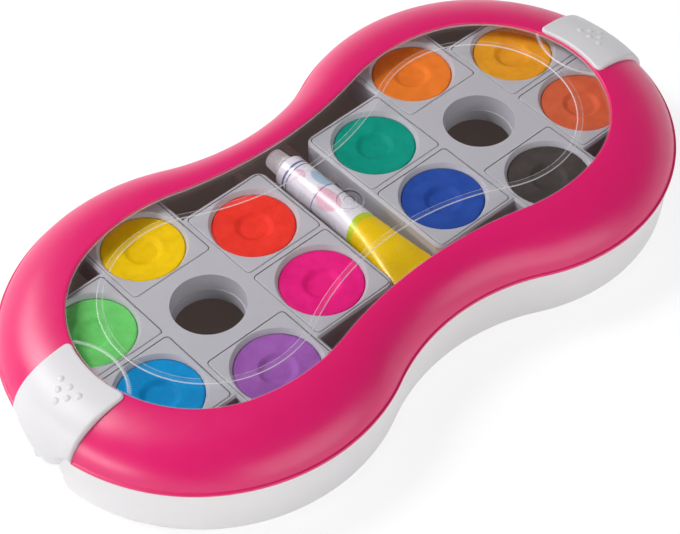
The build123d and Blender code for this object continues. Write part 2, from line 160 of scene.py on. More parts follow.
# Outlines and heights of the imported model, in millimetres.
LID = Outline(138.225, 71.393, 71.393, 55.5)
WINDOW = Outline(113.525, 45.993, 67.493, 38.6)
RIDGE = Outline(101.225, 37.293, 37.293, 21.3)
BASE = LID.grown(-0.5)
DOME_CENTRE_Z = 22.2
DOME_RISE = 15.9
LID_EDGE_Z = 24.1
CREST_Z = DOME_CENTRE_Z + DOME_RISE
TRAY_X = 64.8
TRAY_TOP_Z = 33.1
PITCH = 35.75

Row = tuple[Outline, float]


def dome_row(growth: float, angle: float) -> Row:
    """One level of the lid's dome.

    A quarter ellipse is carried round: at an angle the outline is a share
    1 - cos(angle) of the way from the foot to the window, at height
    centre + rise * sin(angle).

    Args:
        growth: Distance outside the lid's own skin.
        angle: Angle up the quarter ellipse, in radians.

    Returns:
        The outline and its height.
    """
    outline = LID.grown(growth).towards(WINDOW, 1 - math.cos(angle))
    return outline, DOME_CENTRE_Z + (DOME_RISE + growth) * math.sin(angle)


def eased(share: float | np.ndarray) -> float | np.ndarray:
    """A share from 0 to 1 that starts and ends gently: s^2 * (3 - 2 s)."""
    return share * share * (3 - 2 * share)


def spun(vector: np.ndarray, angles: np.ndarray) -> np.ndarray:
    """A plan vector turned by each angle: (x cos a - y sin a, x sin a + y cos a)."""
    c, s = np.cos(angles), np.sin(angles)
    return np.stack([vector[0] * c - vector[1] * s, vector[0] * s + vector[1] * c], -1)


def rounded_path(
    corners: Sequence[tuple[float, float]], radii: Sequence[float], spacing: float = 0.7,
    arc_steps: int = 11,
) -> tuple[np.ndarray, np.ndarray]:
    """A line through corners that are rounded by arcs, with its normals.

    At a corner the arc touches both straight runs at radius * tan(turn / 2) from it;
    its centre lies a radius off the run on the inner side. Normals point to the left
    of the way along.

    Args:
        corners: The corners, first and last being the line's ends.
        radii: A radius for every corner between the ends.
        spacing: Distance between points on the straight runs.
        arc_steps: Points on each corner's arc.

    Returns:
        The points and their normals, both of shape (n, 2).
    """
    nodes = np.asarray(corners, float)
    ways = np.diff(nodes, axis=0)
    ways /= np.linalg.norm(ways, axis=1)[:, None]
    lefts = np.stack([-ways[:, 1], ways[:, 0]], -1)
    points, normals = [nodes[:1]], [lefts[:1]]
    here = nodes[0]
    for index, radius in enumerate(radii):
        before, after = ways[index], ways[index + 1]
        turn = math.atan2(before[0] * after[1] - before[1] * after[0], float(before @ after))
        back = radius * math.tan(abs(turn) / 2)
        start = nodes[index + 1] - before * back
        count = max(2, int(np.linalg.norm(start - here) / spacing) + 1)
        run = here + (start - here) * np.linspace(0, 1, count)[1:, None]
        centre = start + lefts[index] * math.copysign(radius, turn)
        spins = np.linspace(0, turn, arc_steps + 1)[1:]
        arc = centre + spun(start - centre, spins)
        points += [run, arc]
        normals += [np.tile(lefts[index], (len(run), 1)), spun(lefts[index], spins)]
        here = arc[-1]
    count = max(2, int(np.linalg.norm(nodes[-1] - here) / spacing) + 1)
    run = here + (nodes[-1] - here) * np.linspace(0, 1, count)[1:, None]
    points.append(run)
    normals.append(np.tile(lefts[-1], (len(run), 1)))
    return np.concatenate(points), np.concatenate(normals)


def quarter(steps: int) -> np.ndarray:
    """Angles from nought to a right angle."""
    return np.linspace(0.0, math.pi / 2, steps + 1)


def rounding(
    radius: float | np.ndarray, steps: int
) -> list[tuple[float | np.ndarray, float | np.ndarray]]:
    """The steps of a rounded corner, each as its distances from the corner's two faces.

    At an angle a from nought to a right angle these are radius * (1 - cos a), which
    starts at nought, and radius * (1 - sin a), which ends there.

    Args:
        radius: Radius of the rounding.
        steps: Number of steps.

    Returns:
        The pairs of distances, one more than the steps.
    """
    return [(radius * (1 - math.cos(a)), radius * (1 - math.sin(a))) for a in quarter(steps)]


def level(points: np.ndarray, z: float) -> np.ndarray:
    """A plan loop lifted to a height."""
    return np.concatenate([points, np.full((len(points), 1), z)], axis=1)


def stack(rows: Iterable[Row]) -> np.ndarray:
    """Rows of outlines at heights as one grid of points."""
    return np.stack([level(outline.loop(), z) for outline, z in rows])


def circle(radius: float, angles: np.ndarray, centre: Sequence[float] = (0.0, 0.0)) -> np.ndarray:
    """Plan points centre + radius * (cos a, sin a)."""
    return np.stack([centre[0] + radius * np.cos(angles), centre[1] + radius * np.sin(angles)], -1)


def rounded_square(
    half: float, radius: float, side_steps: int = 12, corner_steps: int = 8
) -> np.ndarray:
    """Plan loop of a square with rounded corners.

    Each quarter is a straight side at distance half from the middle followed by an arc
    of the corner radius; the quarters are one another turned by right angles.

    Args:
        half: Half the square's width.
        radius: Corner radius.
        side_steps: Points along each straight side.
        corner_steps: Points on each corner.

    Returns:
        Array of shape (points, 2), counter-clockwise.
    """
    run = half - radius
    up = np.linspace(-run, run, side_steps, endpoint=False)
    bend = np.linspace(0, math.pi / 2, corner_steps, endpoint=False)
    first = np.concatenate([
        np.stack([np.full(side_steps, half), up], -1), circle(radius, bend, (run, run))
    ])
    loops = []
    for turn in range(4):
        c, s = round(math.cos(turn * math.pi / 2)), round(math.sin(turn * math.pi / 2))
        loops.append(first @ np.array([[c, s], [-s, c]], float))
    return np.concatenate(loops)


def mirrored(points: np.ndarray, side: Side) -> np.ndarray:
    """Points of the right end, or their mirror image at the left end."""
    return points * np.array([float(side.value), 1.0, 1.0])


class Shell:
    """Collects grids of points, in millimetres, into one mesh."""

    def __init__(self) -> None:
        """Start with nothing."""
        self._points: list[np.ndarray] = []
        self._quads: list[np.ndarray] = []
        self._weights: list[np.ndarray] = []
        self._count = 0

    def grid(
        self,
        points: np.ndarray,
        round_rows: bool = False,
        round_columns: bool = True,
        weights: np.ndarray | None = None,
    ) -> "Shell":
        """Add a grid whose cells become four-sided faces.

        Args:
            points: Array of shape (rows, columns, 3).
            round_rows: Whether the last row joins the first.
            round_columns: Whether the last column joins the first.
            weights: Numbers for the points, kept on the mesh as the attribute "rim".

        Returns:
            The shell itself.
        """
        rows, columns = points.shape[:2]
        index = self._count + np.arange(rows * columns).reshape(rows, columns)
        if round_rows:
            index = np.concatenate([index, index[:1]], axis=0)
        if round_columns:
            index = np.concatenate([index, index[:, :1]], axis=1)
        cells = np.stack([index[:-1, :-1], index[:-1, 1:], index[1:, 1:], index[1:, :-1]], -1)
        self._points.append(points.reshape(-1, 3))
        self._quads.append(cells.reshape(-1, 4))
        self._weights.append(np.zeros(rows * columns) if weights is None else weights.ravel())
        self._count += rows * columns
        return self

    def fan(self, loop: np.ndarray, centre: Sequence[float]) -> "Shell":
        """Close a loop with faces that meet in one middle point."""
        middle = np.broadcast_to(np.asarray(centre, float), loop.shape)
        return self.grid(np.stack([loop, middle]))

    def lathe(self, profile: np.ndarray, place: np.ndarray, steps: int = 64) -> "Shell":
        """Add a profile turned about an axis.

        A point at (r, t) becomes place applied to (r cos a, r sin a, t).

        Args:
            profile: Array of shape (n, 2) of radius and distance along the axis.
            place: A 4 x 4 matrix that puts the turned shape in its place.
            steps: Number of turns of the profile.

        Returns:
            The shell itself.
        """
        angles = np.linspace(0, 2 * math.pi, steps, endpoint=False)
        radius, along = profile[:, :1], np.repeat(profile[:, 1:], steps, axis=1)
        points = np.stack([radius * np.cos(angles), radius * np.sin(angles), along], -1)
        return self.grid(points @ place[:3, :3].T + place[:3, 3])

    def at_end(self, side: Side) -> "Shell":
        """Leave everything so far at the right end, or mirror it to the left end."""
        self._points = [mirrored(points, side) for points in self._points]
        return self

    def moved(self, shift: Sequence[float]) -> "Shell":
        """Shift everything so far."""
        self._points = [points + np.asarray(shift, float) for points in self._points]
        return self

    def mesh(self, name: str, smooth_angle: float = 35.0) -> Mesh:
        """Write the faces into a mesh, merge doubles and turn all faces outwards.

        Args:
            name: Name of the mesh.
            smooth_angle: Edges sharper than this many degrees stay sharp.

        Returns:
            The finished mesh, in metres.
        """
        points = np.concatenate(self._points) * MM
        quads = np.concatenate(self._quads)
        mesh = bpy.data.meshes.new(name)
        mesh.vertices.add(len(points))
        mesh.vertices.foreach_set("co", points.astype(np.float32).ravel())
        mesh.loops.add(quads.size)
        mesh.loops.foreach_set("vertex_index", quads.astype(np.int32).ravel())
        mesh.polygons.add(len(quads))
        mesh.polygons.foreach_set("loop_start", np.arange(0, quads.size, 4, dtype=np.int32))
        # On the clear plate these numbers are painted light: above nought painted highlight, below
        # nought painted shade.
        rim = mesh.attributes.new("rim", "FLOAT", "POINT")
        rim.data.foreach_set("value", np.concatenate(self._weights).astype(np.float32))
        mesh.update(calc_edges=True)
        mesh.validate()
        tidy(mesh)
        soften(mesh, smooth_angle)
        return mesh


def tidy(mesh: Mesh, merge: float = 2e-6, flat: float = 0.0) -> None:
    """Merge points that coincide, drop empty faces and turn the rest outwards.

    Args:
        mesh: The mesh, changed in place.
        merge: Points nearer than this many metres become one.
        flat: Faces that meet at less than this many degrees are joined, if above nought.
    """
    work = bmesh.new()
    work.from_mesh(mesh)
    bmesh.ops.remove_doubles(work, verts=work.verts, dist=merge)
    bmesh.ops.dissolve_degenerate(work, edges=work.edges, dist=merge / 2)
    if flat:
        limit = math.radians(flat)
        bmesh.ops.dissolve_limit(work, angle_limit=limit, verts=work.verts, edges=work.edges)
    bmesh.ops.recalc_face_normals(work, faces=work.faces)
    work.to_mesh(mesh)
    work.free()


def soften(mesh: Mesh, angle: float) -> None:
    """Shade a mesh smoothly except over edges sharper than an angle in degrees."""
    mesh.polygons.foreach_set("use_smooth", np.ones(len(mesh.polygons), bool))
    mesh.set_sharp_from_angle(angle=math.radians(angle))
    mesh.update()


# --------------------------------------------------------------------------- finishes


def linear(colour: Colour) -> tuple[float, float, float, float]:
    """A screen colour in 0 to 255 as linear light: ((c + 0.055) / 1.055) ** 2.4."""
    share = np.asarray(colour, float) / 255.0
    light = np.where(share <= 0.04045, share / 12.92, ((share + 0.055) / 1.055) ** 2.4)
    return (float(light[0]), float(light[1]), float(light[2]), 1.0)


class Nodes:
    """A short way to write a material's node tree."""

    def __init__(self, name: str) -> None:
        """Make an empty material of this name."""
        self.material = bpy.data.materials.new(name)
        self.material.use_nodes = True
        self.tree = self.material.node_tree
        self.tree.nodes.clear()
        self.output = self.add("ShaderNodeOutputMaterial")

    def add(self, kind: str, settings: dict | None = None, **sockets: object) -> Node:
        """Add a node, set its own settings and set or link its sockets.

        Args:
            kind: Blender's name of the node.
            settings: Properties of the node itself.
            **sockets: Socket names, with underscores for spaces, and a value or an
                output socket to link.

        Returns:
            The node.
        """
        node = self.tree.nodes.new(kind)
        for key, value in (settings or {}).items():
            setattr(node, key, value)
        for key, value in sockets.items():
            self.feed(node, key.replace("_", " "), value)
        return node

    def feed(self, node: Node, socket: str | int, value: object) -> None:
        """Set a socket to a value, or link an output socket to it."""
        target = node.inputs[socket]
        if isinstance(value, Socket):
            self.tree.links.new(value, target)
        else:
            target.default_value = value

    def place(self) -> Socket:
        """Coordinates of the object itself, in metres."""
        return self.add("ShaderNodeTexCoord").outputs["Object"]

    def noise(self, size: float, detail: float = 3.0, rough: float = 0.5) -> Socket:
        """Soft noise whose features are about a size in millimetres."""
        node = self.add(
            "ShaderNodeTexNoise",
            Vector=self.place(), Scale=1000.0 / size, Detail=detail, Roughness=rough,
        )
        return node.outputs["Fac"]

    def ramp(self, value: Socket, low: float, high: float, to: tuple[float, float]) -> Socket:
        """Map a value between two bounds onto a new range, eased at both ends.

        Args:
            value: The number that is mapped.
            low: The bound that becomes the range's first number.
            high: The bound that becomes its second number.
            to: The new range.

        Returns:
            The mapped number.
        """
        node = self.add(
            "ShaderNodeMapRange",
            {"interpolation_type": "SMOOTHSTEP"},
            Value=value, From_Min=low, From_Max=high, To_Min=to[0], To_Max=to[1],
        )
        return node.outputs["Result"]

    def spread(self, noise: Socket, to: tuple[float, float] = (0.0, 1.0)) -> Socket:
        """Noise, which lies mostly between 0.3 and 0.7, stretched over a range."""
        return self.ramp(noise, 0.3, 0.7, to)

    def mix(self, share: object, first: object, second: object) -> Socket:
        """Two colours mixed by a share: first * (1 - share) + second * share."""
        node = self.add("ShaderNodeMix", {"data_type": "RGBA"})
        self.feed(node, 0, share)
        self.feed(node, 6, first)
        self.feed(node, 7, second)
        return node.outputs[2]

    def maths(self, operation: str, first: object, second: object = 0.0) -> Socket:
        """One arithmetic step on two numbers."""
        node = self.add("ShaderNodeMath", {"operation": operation})
        self.feed(node, 0, first)
        self.feed(node, 1, second)
        return node.outputs[0]

    def bump(self, height: Socket, depth: float, under: Socket | None = None) -> Socket:
        """A bump of so many millimetres, on top of another one."""
        node = self.add("ShaderNodeBump", Strength=1.0, Distance=depth * MM, Height=height)
        if under is not None:
            self.feed(node, "Normal", under)
        return node.outputs["Normal"]

    def blend_shaders(self, share: Socket, first: Node, second: Node) -> Node:
        """Two shaders mixed by a share: first * (1 - share) + second * share."""
        mixed = self.add("ShaderNodeMixShader")
        for socket, value in enumerate((share, first.outputs[0], second.outputs[0])):
            self.feed(mixed, socket, value)
        return mixed

    def principled(self, colour: Socket, gloss: Socket, skin: Socket) -> Node:
        """A principled shader with its colour, roughness and bump linked."""
        return self.add("ShaderNodeBsdfPrincipled", Base_Color=colour, Roughness=gloss, Normal=skin)

    def close(self, shader: Node) -> Material:
        """Link the last shader to the output."""
        self.tree.links.new(shader.outputs[0], self.output.inputs["Surface"])
        return self.material


@dataclass(frozen=True)
class MouldedPlastic:
    """A moulded plastic: faint cloudiness in its colour, a fine skin and uneven gloss.

    Sizes and depths are in millimetres. The gloss wanders between the two shares of
    its roughness that gloss_swing gives.
    """

    name: str
    colour: Colour
    shade: Colour
    roughness: float = 0.32
    grain: float = 0.5
    grain_depth: float = 0.006
    wave_depth: float = 0.03
    gleam: float = 0.5
    glow: float = 0.0
    # Painted glow: light given off in the plastic's own colour, though it is no lamp.
    painted_glow: float = 0.0
    cloud_size: float = 26.0
    wave_size: float = 18.0
    gloss_size: float = 6.0
    gloss_swing: tuple[float, float] = (0.95, 1.06)

    def material(self) -> Material:
        """Colour mixed by soft noise, two scales of bump and a roughness that wanders.

        Returns:
            The material.
        """
        nodes = Nodes(self.name)
        cloud = nodes.spread(nodes.noise(self.cloud_size, 2.0))
        colour = nodes.mix(cloud, linear(self.colour), linear(self.shade))
        speck = nodes.noise(self.grain, 2.0)
        skin = nodes.bump(nodes.noise(self.wave_size, 1.0), self.wave_depth)
        skin = nodes.bump(speck, self.grain_depth, skin)
        low, high = (self.roughness * swing for swing in self.gloss_swing)
        gloss = nodes.spread(nodes.noise(self.gloss_size, 3.0), (low, high))
        shader = nodes.principled(colour, gloss, skin)
        shader.inputs["IOR"].default_value = 1.48
        shader.inputs["Specular IOR Level"].default_value = self.gleam
        shader.inputs["Subsurface Weight"].default_value = self.glow
        shader.inputs["Subsurface Radius"].default_value = (1.0, 0.6, 0.5)
        shader.inputs["Subsurface Scale"].default_value = 0.0015
        # Painted glow: the surface gives off light in its own colour.
        shader.inputs["Emission Color"].default_value = (*linear(self.colour)[:3], 1.0)
        shader.inputs["Emission Strength"].default_value = self.painted_glow
        return nodes.close(shader)


@dataclass(frozen=True)
class PressedPaint:
    """A pressed tablet of opaque paint: velvety, with fine powder grain and soft blotches.

    Sizes and depths are in millimetres; deepening and paling make the two shades.
    """

    name: str
    colour: Colour
    roughness: float = 0.62
    gloss_swing: tuple[float, float] = (0.86, 1.12)
    gleam: float = 0.16
    deepening: float = 0.95
    paling: float = 0.035
    blotch_size: float = 5.0
    grain_size: float = 0.7
    grain_share: float = 0.3
    grain_depth: float = 0.03
    wave_size: float = 4.5
    wave_depth: float = 0.06

    def material(self) -> Material:
        """Two shades of one colour mixed by noise, with soft waves and fine pores.

        The deep shade is the colour times the deepening, and the pale one lies a
        share, the paling, of the way from the colour to white.

        Returns:
            The material.
        """
        nodes = Nodes(self.name)
        base = np.asarray(self.colour, float)
        deep = tuple(base * self.deepening)
        pale = tuple(base + (255 - base) * self.paling)
        blotch = nodes.ramp(nodes.noise(self.blotch_size, 4.0, 0.6), 0.32, 0.68, (0.0, 1.0))
        colour = nodes.mix(blotch, linear(deep), linear(pale))
        grain = nodes.spread(nodes.noise(self.grain_size, 4.0, 0.65))
        colour = nodes.mix(nodes.maths("MULTIPLY", grain, self.grain_share), colour, linear(pale))
        skin = nodes.bump(nodes.noise(self.wave_size, 1.5), self.wave_depth)
        skin = nodes.bump(grain, self.grain_depth, skin)
        low, high = (self.roughness * swing for swing in self.gloss_swing)
        gloss = nodes.ramp(blotch, 0.0, 1.0, (low, high))
        shader = nodes.principled(colour, gloss, skin)
        shader.inputs["IOR"].default_value = 1.42
        shader.inputs["Specular IOR Level"].default_value = self.gleam
        return nodes.close(shader)


@dataclass(frozen=True)
class ClearPlastic:
    """A clear moulded plate: light goes straight through; its moulded edges get a painted highlight
    and bead flanks painted shade.
    """

    name: str
    tint: Colour = (255, 255, 255)
    # The next two tones make the painted highlight on moulded edges.
    line: Colour = (246, 246, 248)
    line_shade: Colour = (236, 238, 242)
    # Painted shade: the tint that darkens what shows through a bead's inner flank.
    painted_shade_tint: Colour = (104, 102, 108)
    painted_highlight_share: float = 0.62
    line_roughness: float = 0.25
    slant_painted_highlight: float = 0.45
    least_gloss: float = 0.002
    slant_gloss: float = 0.28
    gloss_roughness: float = 0.06
    wave_size: float = 30.0
    wave_depth: float = 0.03
    speckle_size: float = 1.6

    def material(self) -> Material:
        """Transparent, mixed with a painted highlight on moulded edges and gloss at a slant.

        The painted highlight's share is the mesh's "rim" number times a fixed share, or
        more where the surface is seen edge on, and a "rim" under nought darkens what
        shows through as painted shade. The gloss share is a small constant plus a share
        times (1 - cosine) ^ 4.

        Returns:
            The material.
        """
        nodes = Nodes(self.name)
        skin = nodes.bump(nodes.noise(self.wave_size, 1.0), self.wave_depth)
        facing = nodes.add("ShaderNodeLayerWeight", Blend=0.5, Normal=skin).outputs["Facing"]
        # The mesh's "rim" number is painted light: above nought painted highlight, below nought
        # painted shade.
        rim = nodes.add("ShaderNodeAttribute", {"attribute_name": "rim"}).outputs["Fac"]
        depth = nodes.maths("MULTIPLY", rim, -1.0)
        seen = nodes.mix(depth, linear(self.tint), linear(self.painted_shade_tint))
        through = nodes.add("ShaderNodeBsdfTransparent", Color=seen)
        speckle = nodes.spread(nodes.noise(self.speckle_size, 2.0))
        # Painted highlight: a pale speckled skin on moulded edges and where the plate is seen edge
        # on.
        line = nodes.mix(speckle, linear(self.line), linear(self.line_shade))
        pale = nodes.add("ShaderNodeBsdfPrincipled", Base_Color=line)
        pale.inputs["Roughness"].default_value = self.line_roughness
        edge = nodes.maths("MULTIPLY", rim, self.painted_highlight_share)
        slant = nodes.ramp(facing, 0.6, 0.98, (0.0, self.slant_painted_highlight))
        body = nodes.blend_shaders(nodes.maths("MAXIMUM", edge, slant), through, pale)
        gloss = nodes.add("ShaderNodeBsdfGlossy", Normal=skin)
        gloss.inputs["Color"].default_value = (1.0, 1.0, 1.0, 1.0)
        gloss.inputs["Roughness"].default_value = self.gloss_roughness
        grazing = nodes.maths("MULTIPLY", nodes.maths("POWER", facing, 4.0), self.slant_gloss)
        share = nodes.maths("ADD", grazing, self.least_gloss)
        return nodes.close(nodes.blend_shaders(share, body, gloss))


@dataclass(frozen=True)
class DrawnSteel:
    """Bright drawn steel with fine lines round the pin.

    The lines are noise drawn out along Y: line_scale is its waves per metre on each axis.
    """

    name: str
    colour: Colour = (196, 197, 200)
    shade: Colour = (168, 169, 173)
    line_scale: tuple[float, float, float] = (9000.0, 500.0, 9000.0)
    line_depth: float = 0.004

    def material(self) -> Material:
        """Metal whose roughness and bump follow noise stretched along the pin.

        Returns:
            The material.
        """
        nodes = Nodes(self.name)
        drawn = nodes.add("ShaderNodeMapping", Vector=nodes.place(), Scale=self.line_scale)
        noise = nodes.add("ShaderNodeTexNoise", Vector=drawn.outputs[0], Scale=1.0, Detail=2.0)
        lines = noise.outputs["Fac"]
        colour = nodes.mix(lines, linear(self.colour), linear(self.shade))
        gloss = nodes.spread(lines, (0.22, 0.36))
        shader = nodes.principled(colour, gloss, nodes.bump(lines, self.line_depth))
        shader.inputs["Metallic"].default_value = 1.0
        return nodes.close(shader)


@dataclass(frozen=True)
class Oval:
    """A soft-edged oval printed on the tube: middle and half sizes in X and Y, in millimetres."""

    colour: Colour
    centre: tuple[float, float]
    half: tuple[float, float]
    cover: float = 0.85


@dataclass(frozen=True)
class TubeLacquer:
    """Printed lacquer on a soft metal tube: pale shoulder, soft coloured shapes, a bright band.

    A stripe is given by its Y and half width. The band starts at band_y and has an
    edge of another colour; bend is how far its line has sunk at bend_x from the middle.
    """

    name: str
    white: Colour = (244, 238, 249)
    pink: Colour = (236, 178, 196)
    sky: Colour = (168, 200, 226)
    yellow: Colour = (255, 212, 4)
    lime: Colour = (204, 218, 40)
    navy: Colour = (58, 66, 140)
    worn: Colour = (214, 212, 214)
    band_y: float = -7.0
    band_edge: float = 2.6
    bend: float = 3.0
    bend_x: float = 9.0
    stripes: tuple[tuple[float, float], ...] = ((28.6, 0.45), (26.9, 0.25), (13.2, 0.2))
    ovals: tuple[Oval, ...] = (
        Oval(pink, (-2.4, 8.5), (3.4, 6.2)),
        Oval(sky, (2.6, 17.5), (2.8, 5.0)),
        Oval(pink, (-2.0, 24.0), (2.0, 2.6)),
    )

    def material(self) -> Material:
        """Colours laid along the tube by steps on its Y, with soft ovals and thin stripes.

        The band's edge is a parabola: y + bend * (x / bend_x)^2 is constant along it.

        Returns:
            The material.
        """
        nodes = Nodes(self.name)
        parts = nodes.add("ShaderNodeSeparateXYZ", Vector=nodes.place()).outputs
        x, y = parts[0], parts[1]
        off = nodes.maths("DIVIDE", x, self.bend_x * MM)
        sway = nodes.maths("MULTIPLY", nodes.maths("POWER", off, 2.0), self.bend * MM)
        arc = nodes.maths("ADD", y, sway)
        colour = linear(self.white)
        for oval in self.ovals:
            colour = self._patch(nodes, colour, oval, x, y)
        edge = self._below(nodes, arc, self.band_y + self.band_edge)
        colour = nodes.mix(edge, colour, linear(self.lime))
        colour = nodes.mix(self._below(nodes, arc, self.band_y), colour, linear(self.yellow))
        for line_y, half in self.stripes:
            across = nodes.maths("ABSOLUTE", nodes.maths("SUBTRACT", y, line_y * MM))
            stripe = nodes.ramp(across, (half - 0.12) * MM, (half + 0.12) * MM, (0.85, 0.0))
            colour = nodes.mix(stripe, colour, linear(self.navy))
        wear = nodes.ramp(nodes.noise(3.0, 4.0, 0.7), 0.62, 0.78, (0.0, 0.25))
        colour = nodes.mix(wear, colour, linear(self.worn))
        dents = nodes.bump(nodes.noise(9.0, 2.0), 0.22)
        skin = nodes.bump(nodes.noise(0.8, 2.0), 0.008, dents)
        gloss = nodes.spread(nodes.noise(5.0, 3.0), (0.24, 0.36))
        shader = nodes.principled(colour, gloss, skin)
        shader.inputs["Metallic"].default_value = 0.05
        shader.inputs["Coat Weight"].default_value = 0.2
        shader.inputs["Coat Roughness"].default_value = 0.15
        return nodes.close(shader)

    def _below(self, nodes: Nodes, value: Socket, edge: float) -> Socket:
        """One where a value is under an edge in millimetres, with a soft step."""
        return nodes.ramp(value, (edge - 0.25) * MM, (edge + 0.25) * MM, (1.0, 0.0))

    def _patch(self, nodes: Nodes, under: object, oval: Oval, x: Socket, y: Socket) -> Socket:
        """An oval over a colour: it shows where ((x - a) / p)^2 + ((y - b) / q)^2 is under one.

        Args:
            nodes: The material's nodes.
            under: The colour so far.
            oval: The oval, with its middle (a, b) and half sizes (p, q).
            x: Place along X.
            y: Place along Y.

        Returns:
            The colour with the oval on it.
        """
        spans = []
        for place, middle, half in zip((x, y), oval.centre, oval.half):
            away = nodes.maths("SUBTRACT", place, middle * MM)
            spans.append(nodes.maths("DIVIDE", away, half * MM))
        squares = [nodes.maths("POWER", span, 2.0) for span in spans]
        span = nodes.maths("ADD", *squares)
        share = nodes.ramp(span, 0.75, 1.2, (oval.cover, 0.0))
        return nodes.mix(share, under, linear(oval.colour))


@dataclass(frozen=True)
class Floor:
    """The plain pale ground: white to the camera, with the box's soft shadow left on it.

    The first pair of tones is what it gives back to other things, the second what
    the camera sees of it on top of the lift.
    """

    name: str = "pale_ground"
    matt: tuple[Colour, Colour] = ((240, 240, 241), (236, 236, 238))
    weak: tuple[Colour, Colour] = ((156, 156, 158), (154, 154, 156))
    lift: float = 0.76

    def material(self) -> Material:
        """Matt to other things; to the camera a fixed white plus a weaker matt share.

        So only part of a shadow on it shows.

        Returns:
            The material.
        """
        nodes = Nodes(self.name)
        tone = nodes.ramp(nodes.noise(60.0, 2.0), 0.2, 0.8, (0.0, 0.1))
        matt, weak = (
            nodes.add("ShaderNodeBsdfDiffuse", Color=nodes.mix(tone, linear(first), linear(second)))
            for first, second in (self.matt, self.weak)
        )
        white = nodes.add("ShaderNodeEmission", Color=(1.0, 1.0, 1.0, 1.0), Strength=self.lift)
        seen = nodes.add("ShaderNodeAddShader")
        nodes.feed(seen, 0, white.outputs[0])
        nodes.feed(seen, 1, weak.outputs[0])
        path = nodes.add("ShaderNodeLightPath").outputs
        direct = nodes.maths("MAXIMUM", path["Is Camera Ray"], path["Is Transmission Ray"])
        direct = nodes.maths("MAXIMUM", direct, path["Is Glossy Ray"])
        return nodes.close(nodes.blend_shaders(direct, matt, seen))


WHITE = MouldedPlastic(
    "white_moulding", (241, 239, 240), (239, 237, 238), 0.36, gleam=0.4, glow=0.05
)
# Painted shade: the tub's white plastic set darker for the latch, where the lamps fall strongest.
SHADED_LATCH_WHITE = MouldedPlastic(
    "latch_moulding", (225, 223, 226), (223, 221, 224), 0.38, gleam=0.4, glow=0.05
)
RASPBERRY = MouldedPlastic(
    "raspberry_moulding", (233, 6, 109), (231, 5, 107), 0.33,
    grain=1.4, grain_depth=0.0002, wave_depth=0.006, gleam=0.85,
)
SILVER_GREY = MouldedPlastic(
    "silver_grey_moulding", (194, 192, 199), (191, 189, 196), 0.34, gleam=0.3
)
# Painted glow on the liner lightens it in the box's shaded interior.
DARK = MouldedPlastic(
    "taupe_moulding", (142, 126, 121), (134, 119, 114), 0.42, gleam=0.25, painted_glow=0.13
)
# Painted glow on the cap lightens it.
CAP_WHITE = MouldedPlastic(
    "milky_cap", (248, 246, 249), (243, 242, 247), 0.3, glow=0.3, painted_glow=0.16
)


# --------------------------------------------------------------------------- pieces


def publish(mesh: Mesh, body: str, node: str, slot: str, finish: Material) -> Object:
    """Put a mesh into the scene as the visible piece for one CAD node.

    Args:
        mesh: The finished mesh, in metres and in its place.
        body: Name of the body it moves with.
        node: Name of the CAD node that it stands for.
        slot: Material slot of the record; not used.
        finish: Material that it wears.

    Returns:
        The new object.
    """
    piece = bpy.data.objects.new(mesh.name, mesh)
    bpy.context.scene.collection.objects.link(piece)
    mesh.materials.clear()
    mesh.materials.append(finish)
    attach(piece, body)
    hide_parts(node)
    LOG.info("%s: %d faces on %s", piece.name, len(mesh.polygons), body)
    return piece


def finishing_bevel(piece: Object, width: float, angle: float) -> None:
    """Round a piece's sharp edges.

    Args:
        piece: The piece that gets the modifier.
        width: Width of the rounding, in millimetres.
        angle: Edges sharper than this many degrees are rounded.
    """
    bevel = piece.modifiers.new("edge_round", "BEVEL")
    bevel.width = width * MM
    bevel.segments = 2
    bevel.limit_method = "ANGLE"
    bevel.angle_limit = math.radians(angle)
    bevel.use_clamp_overlap = True
    bevel.harden_normals = False


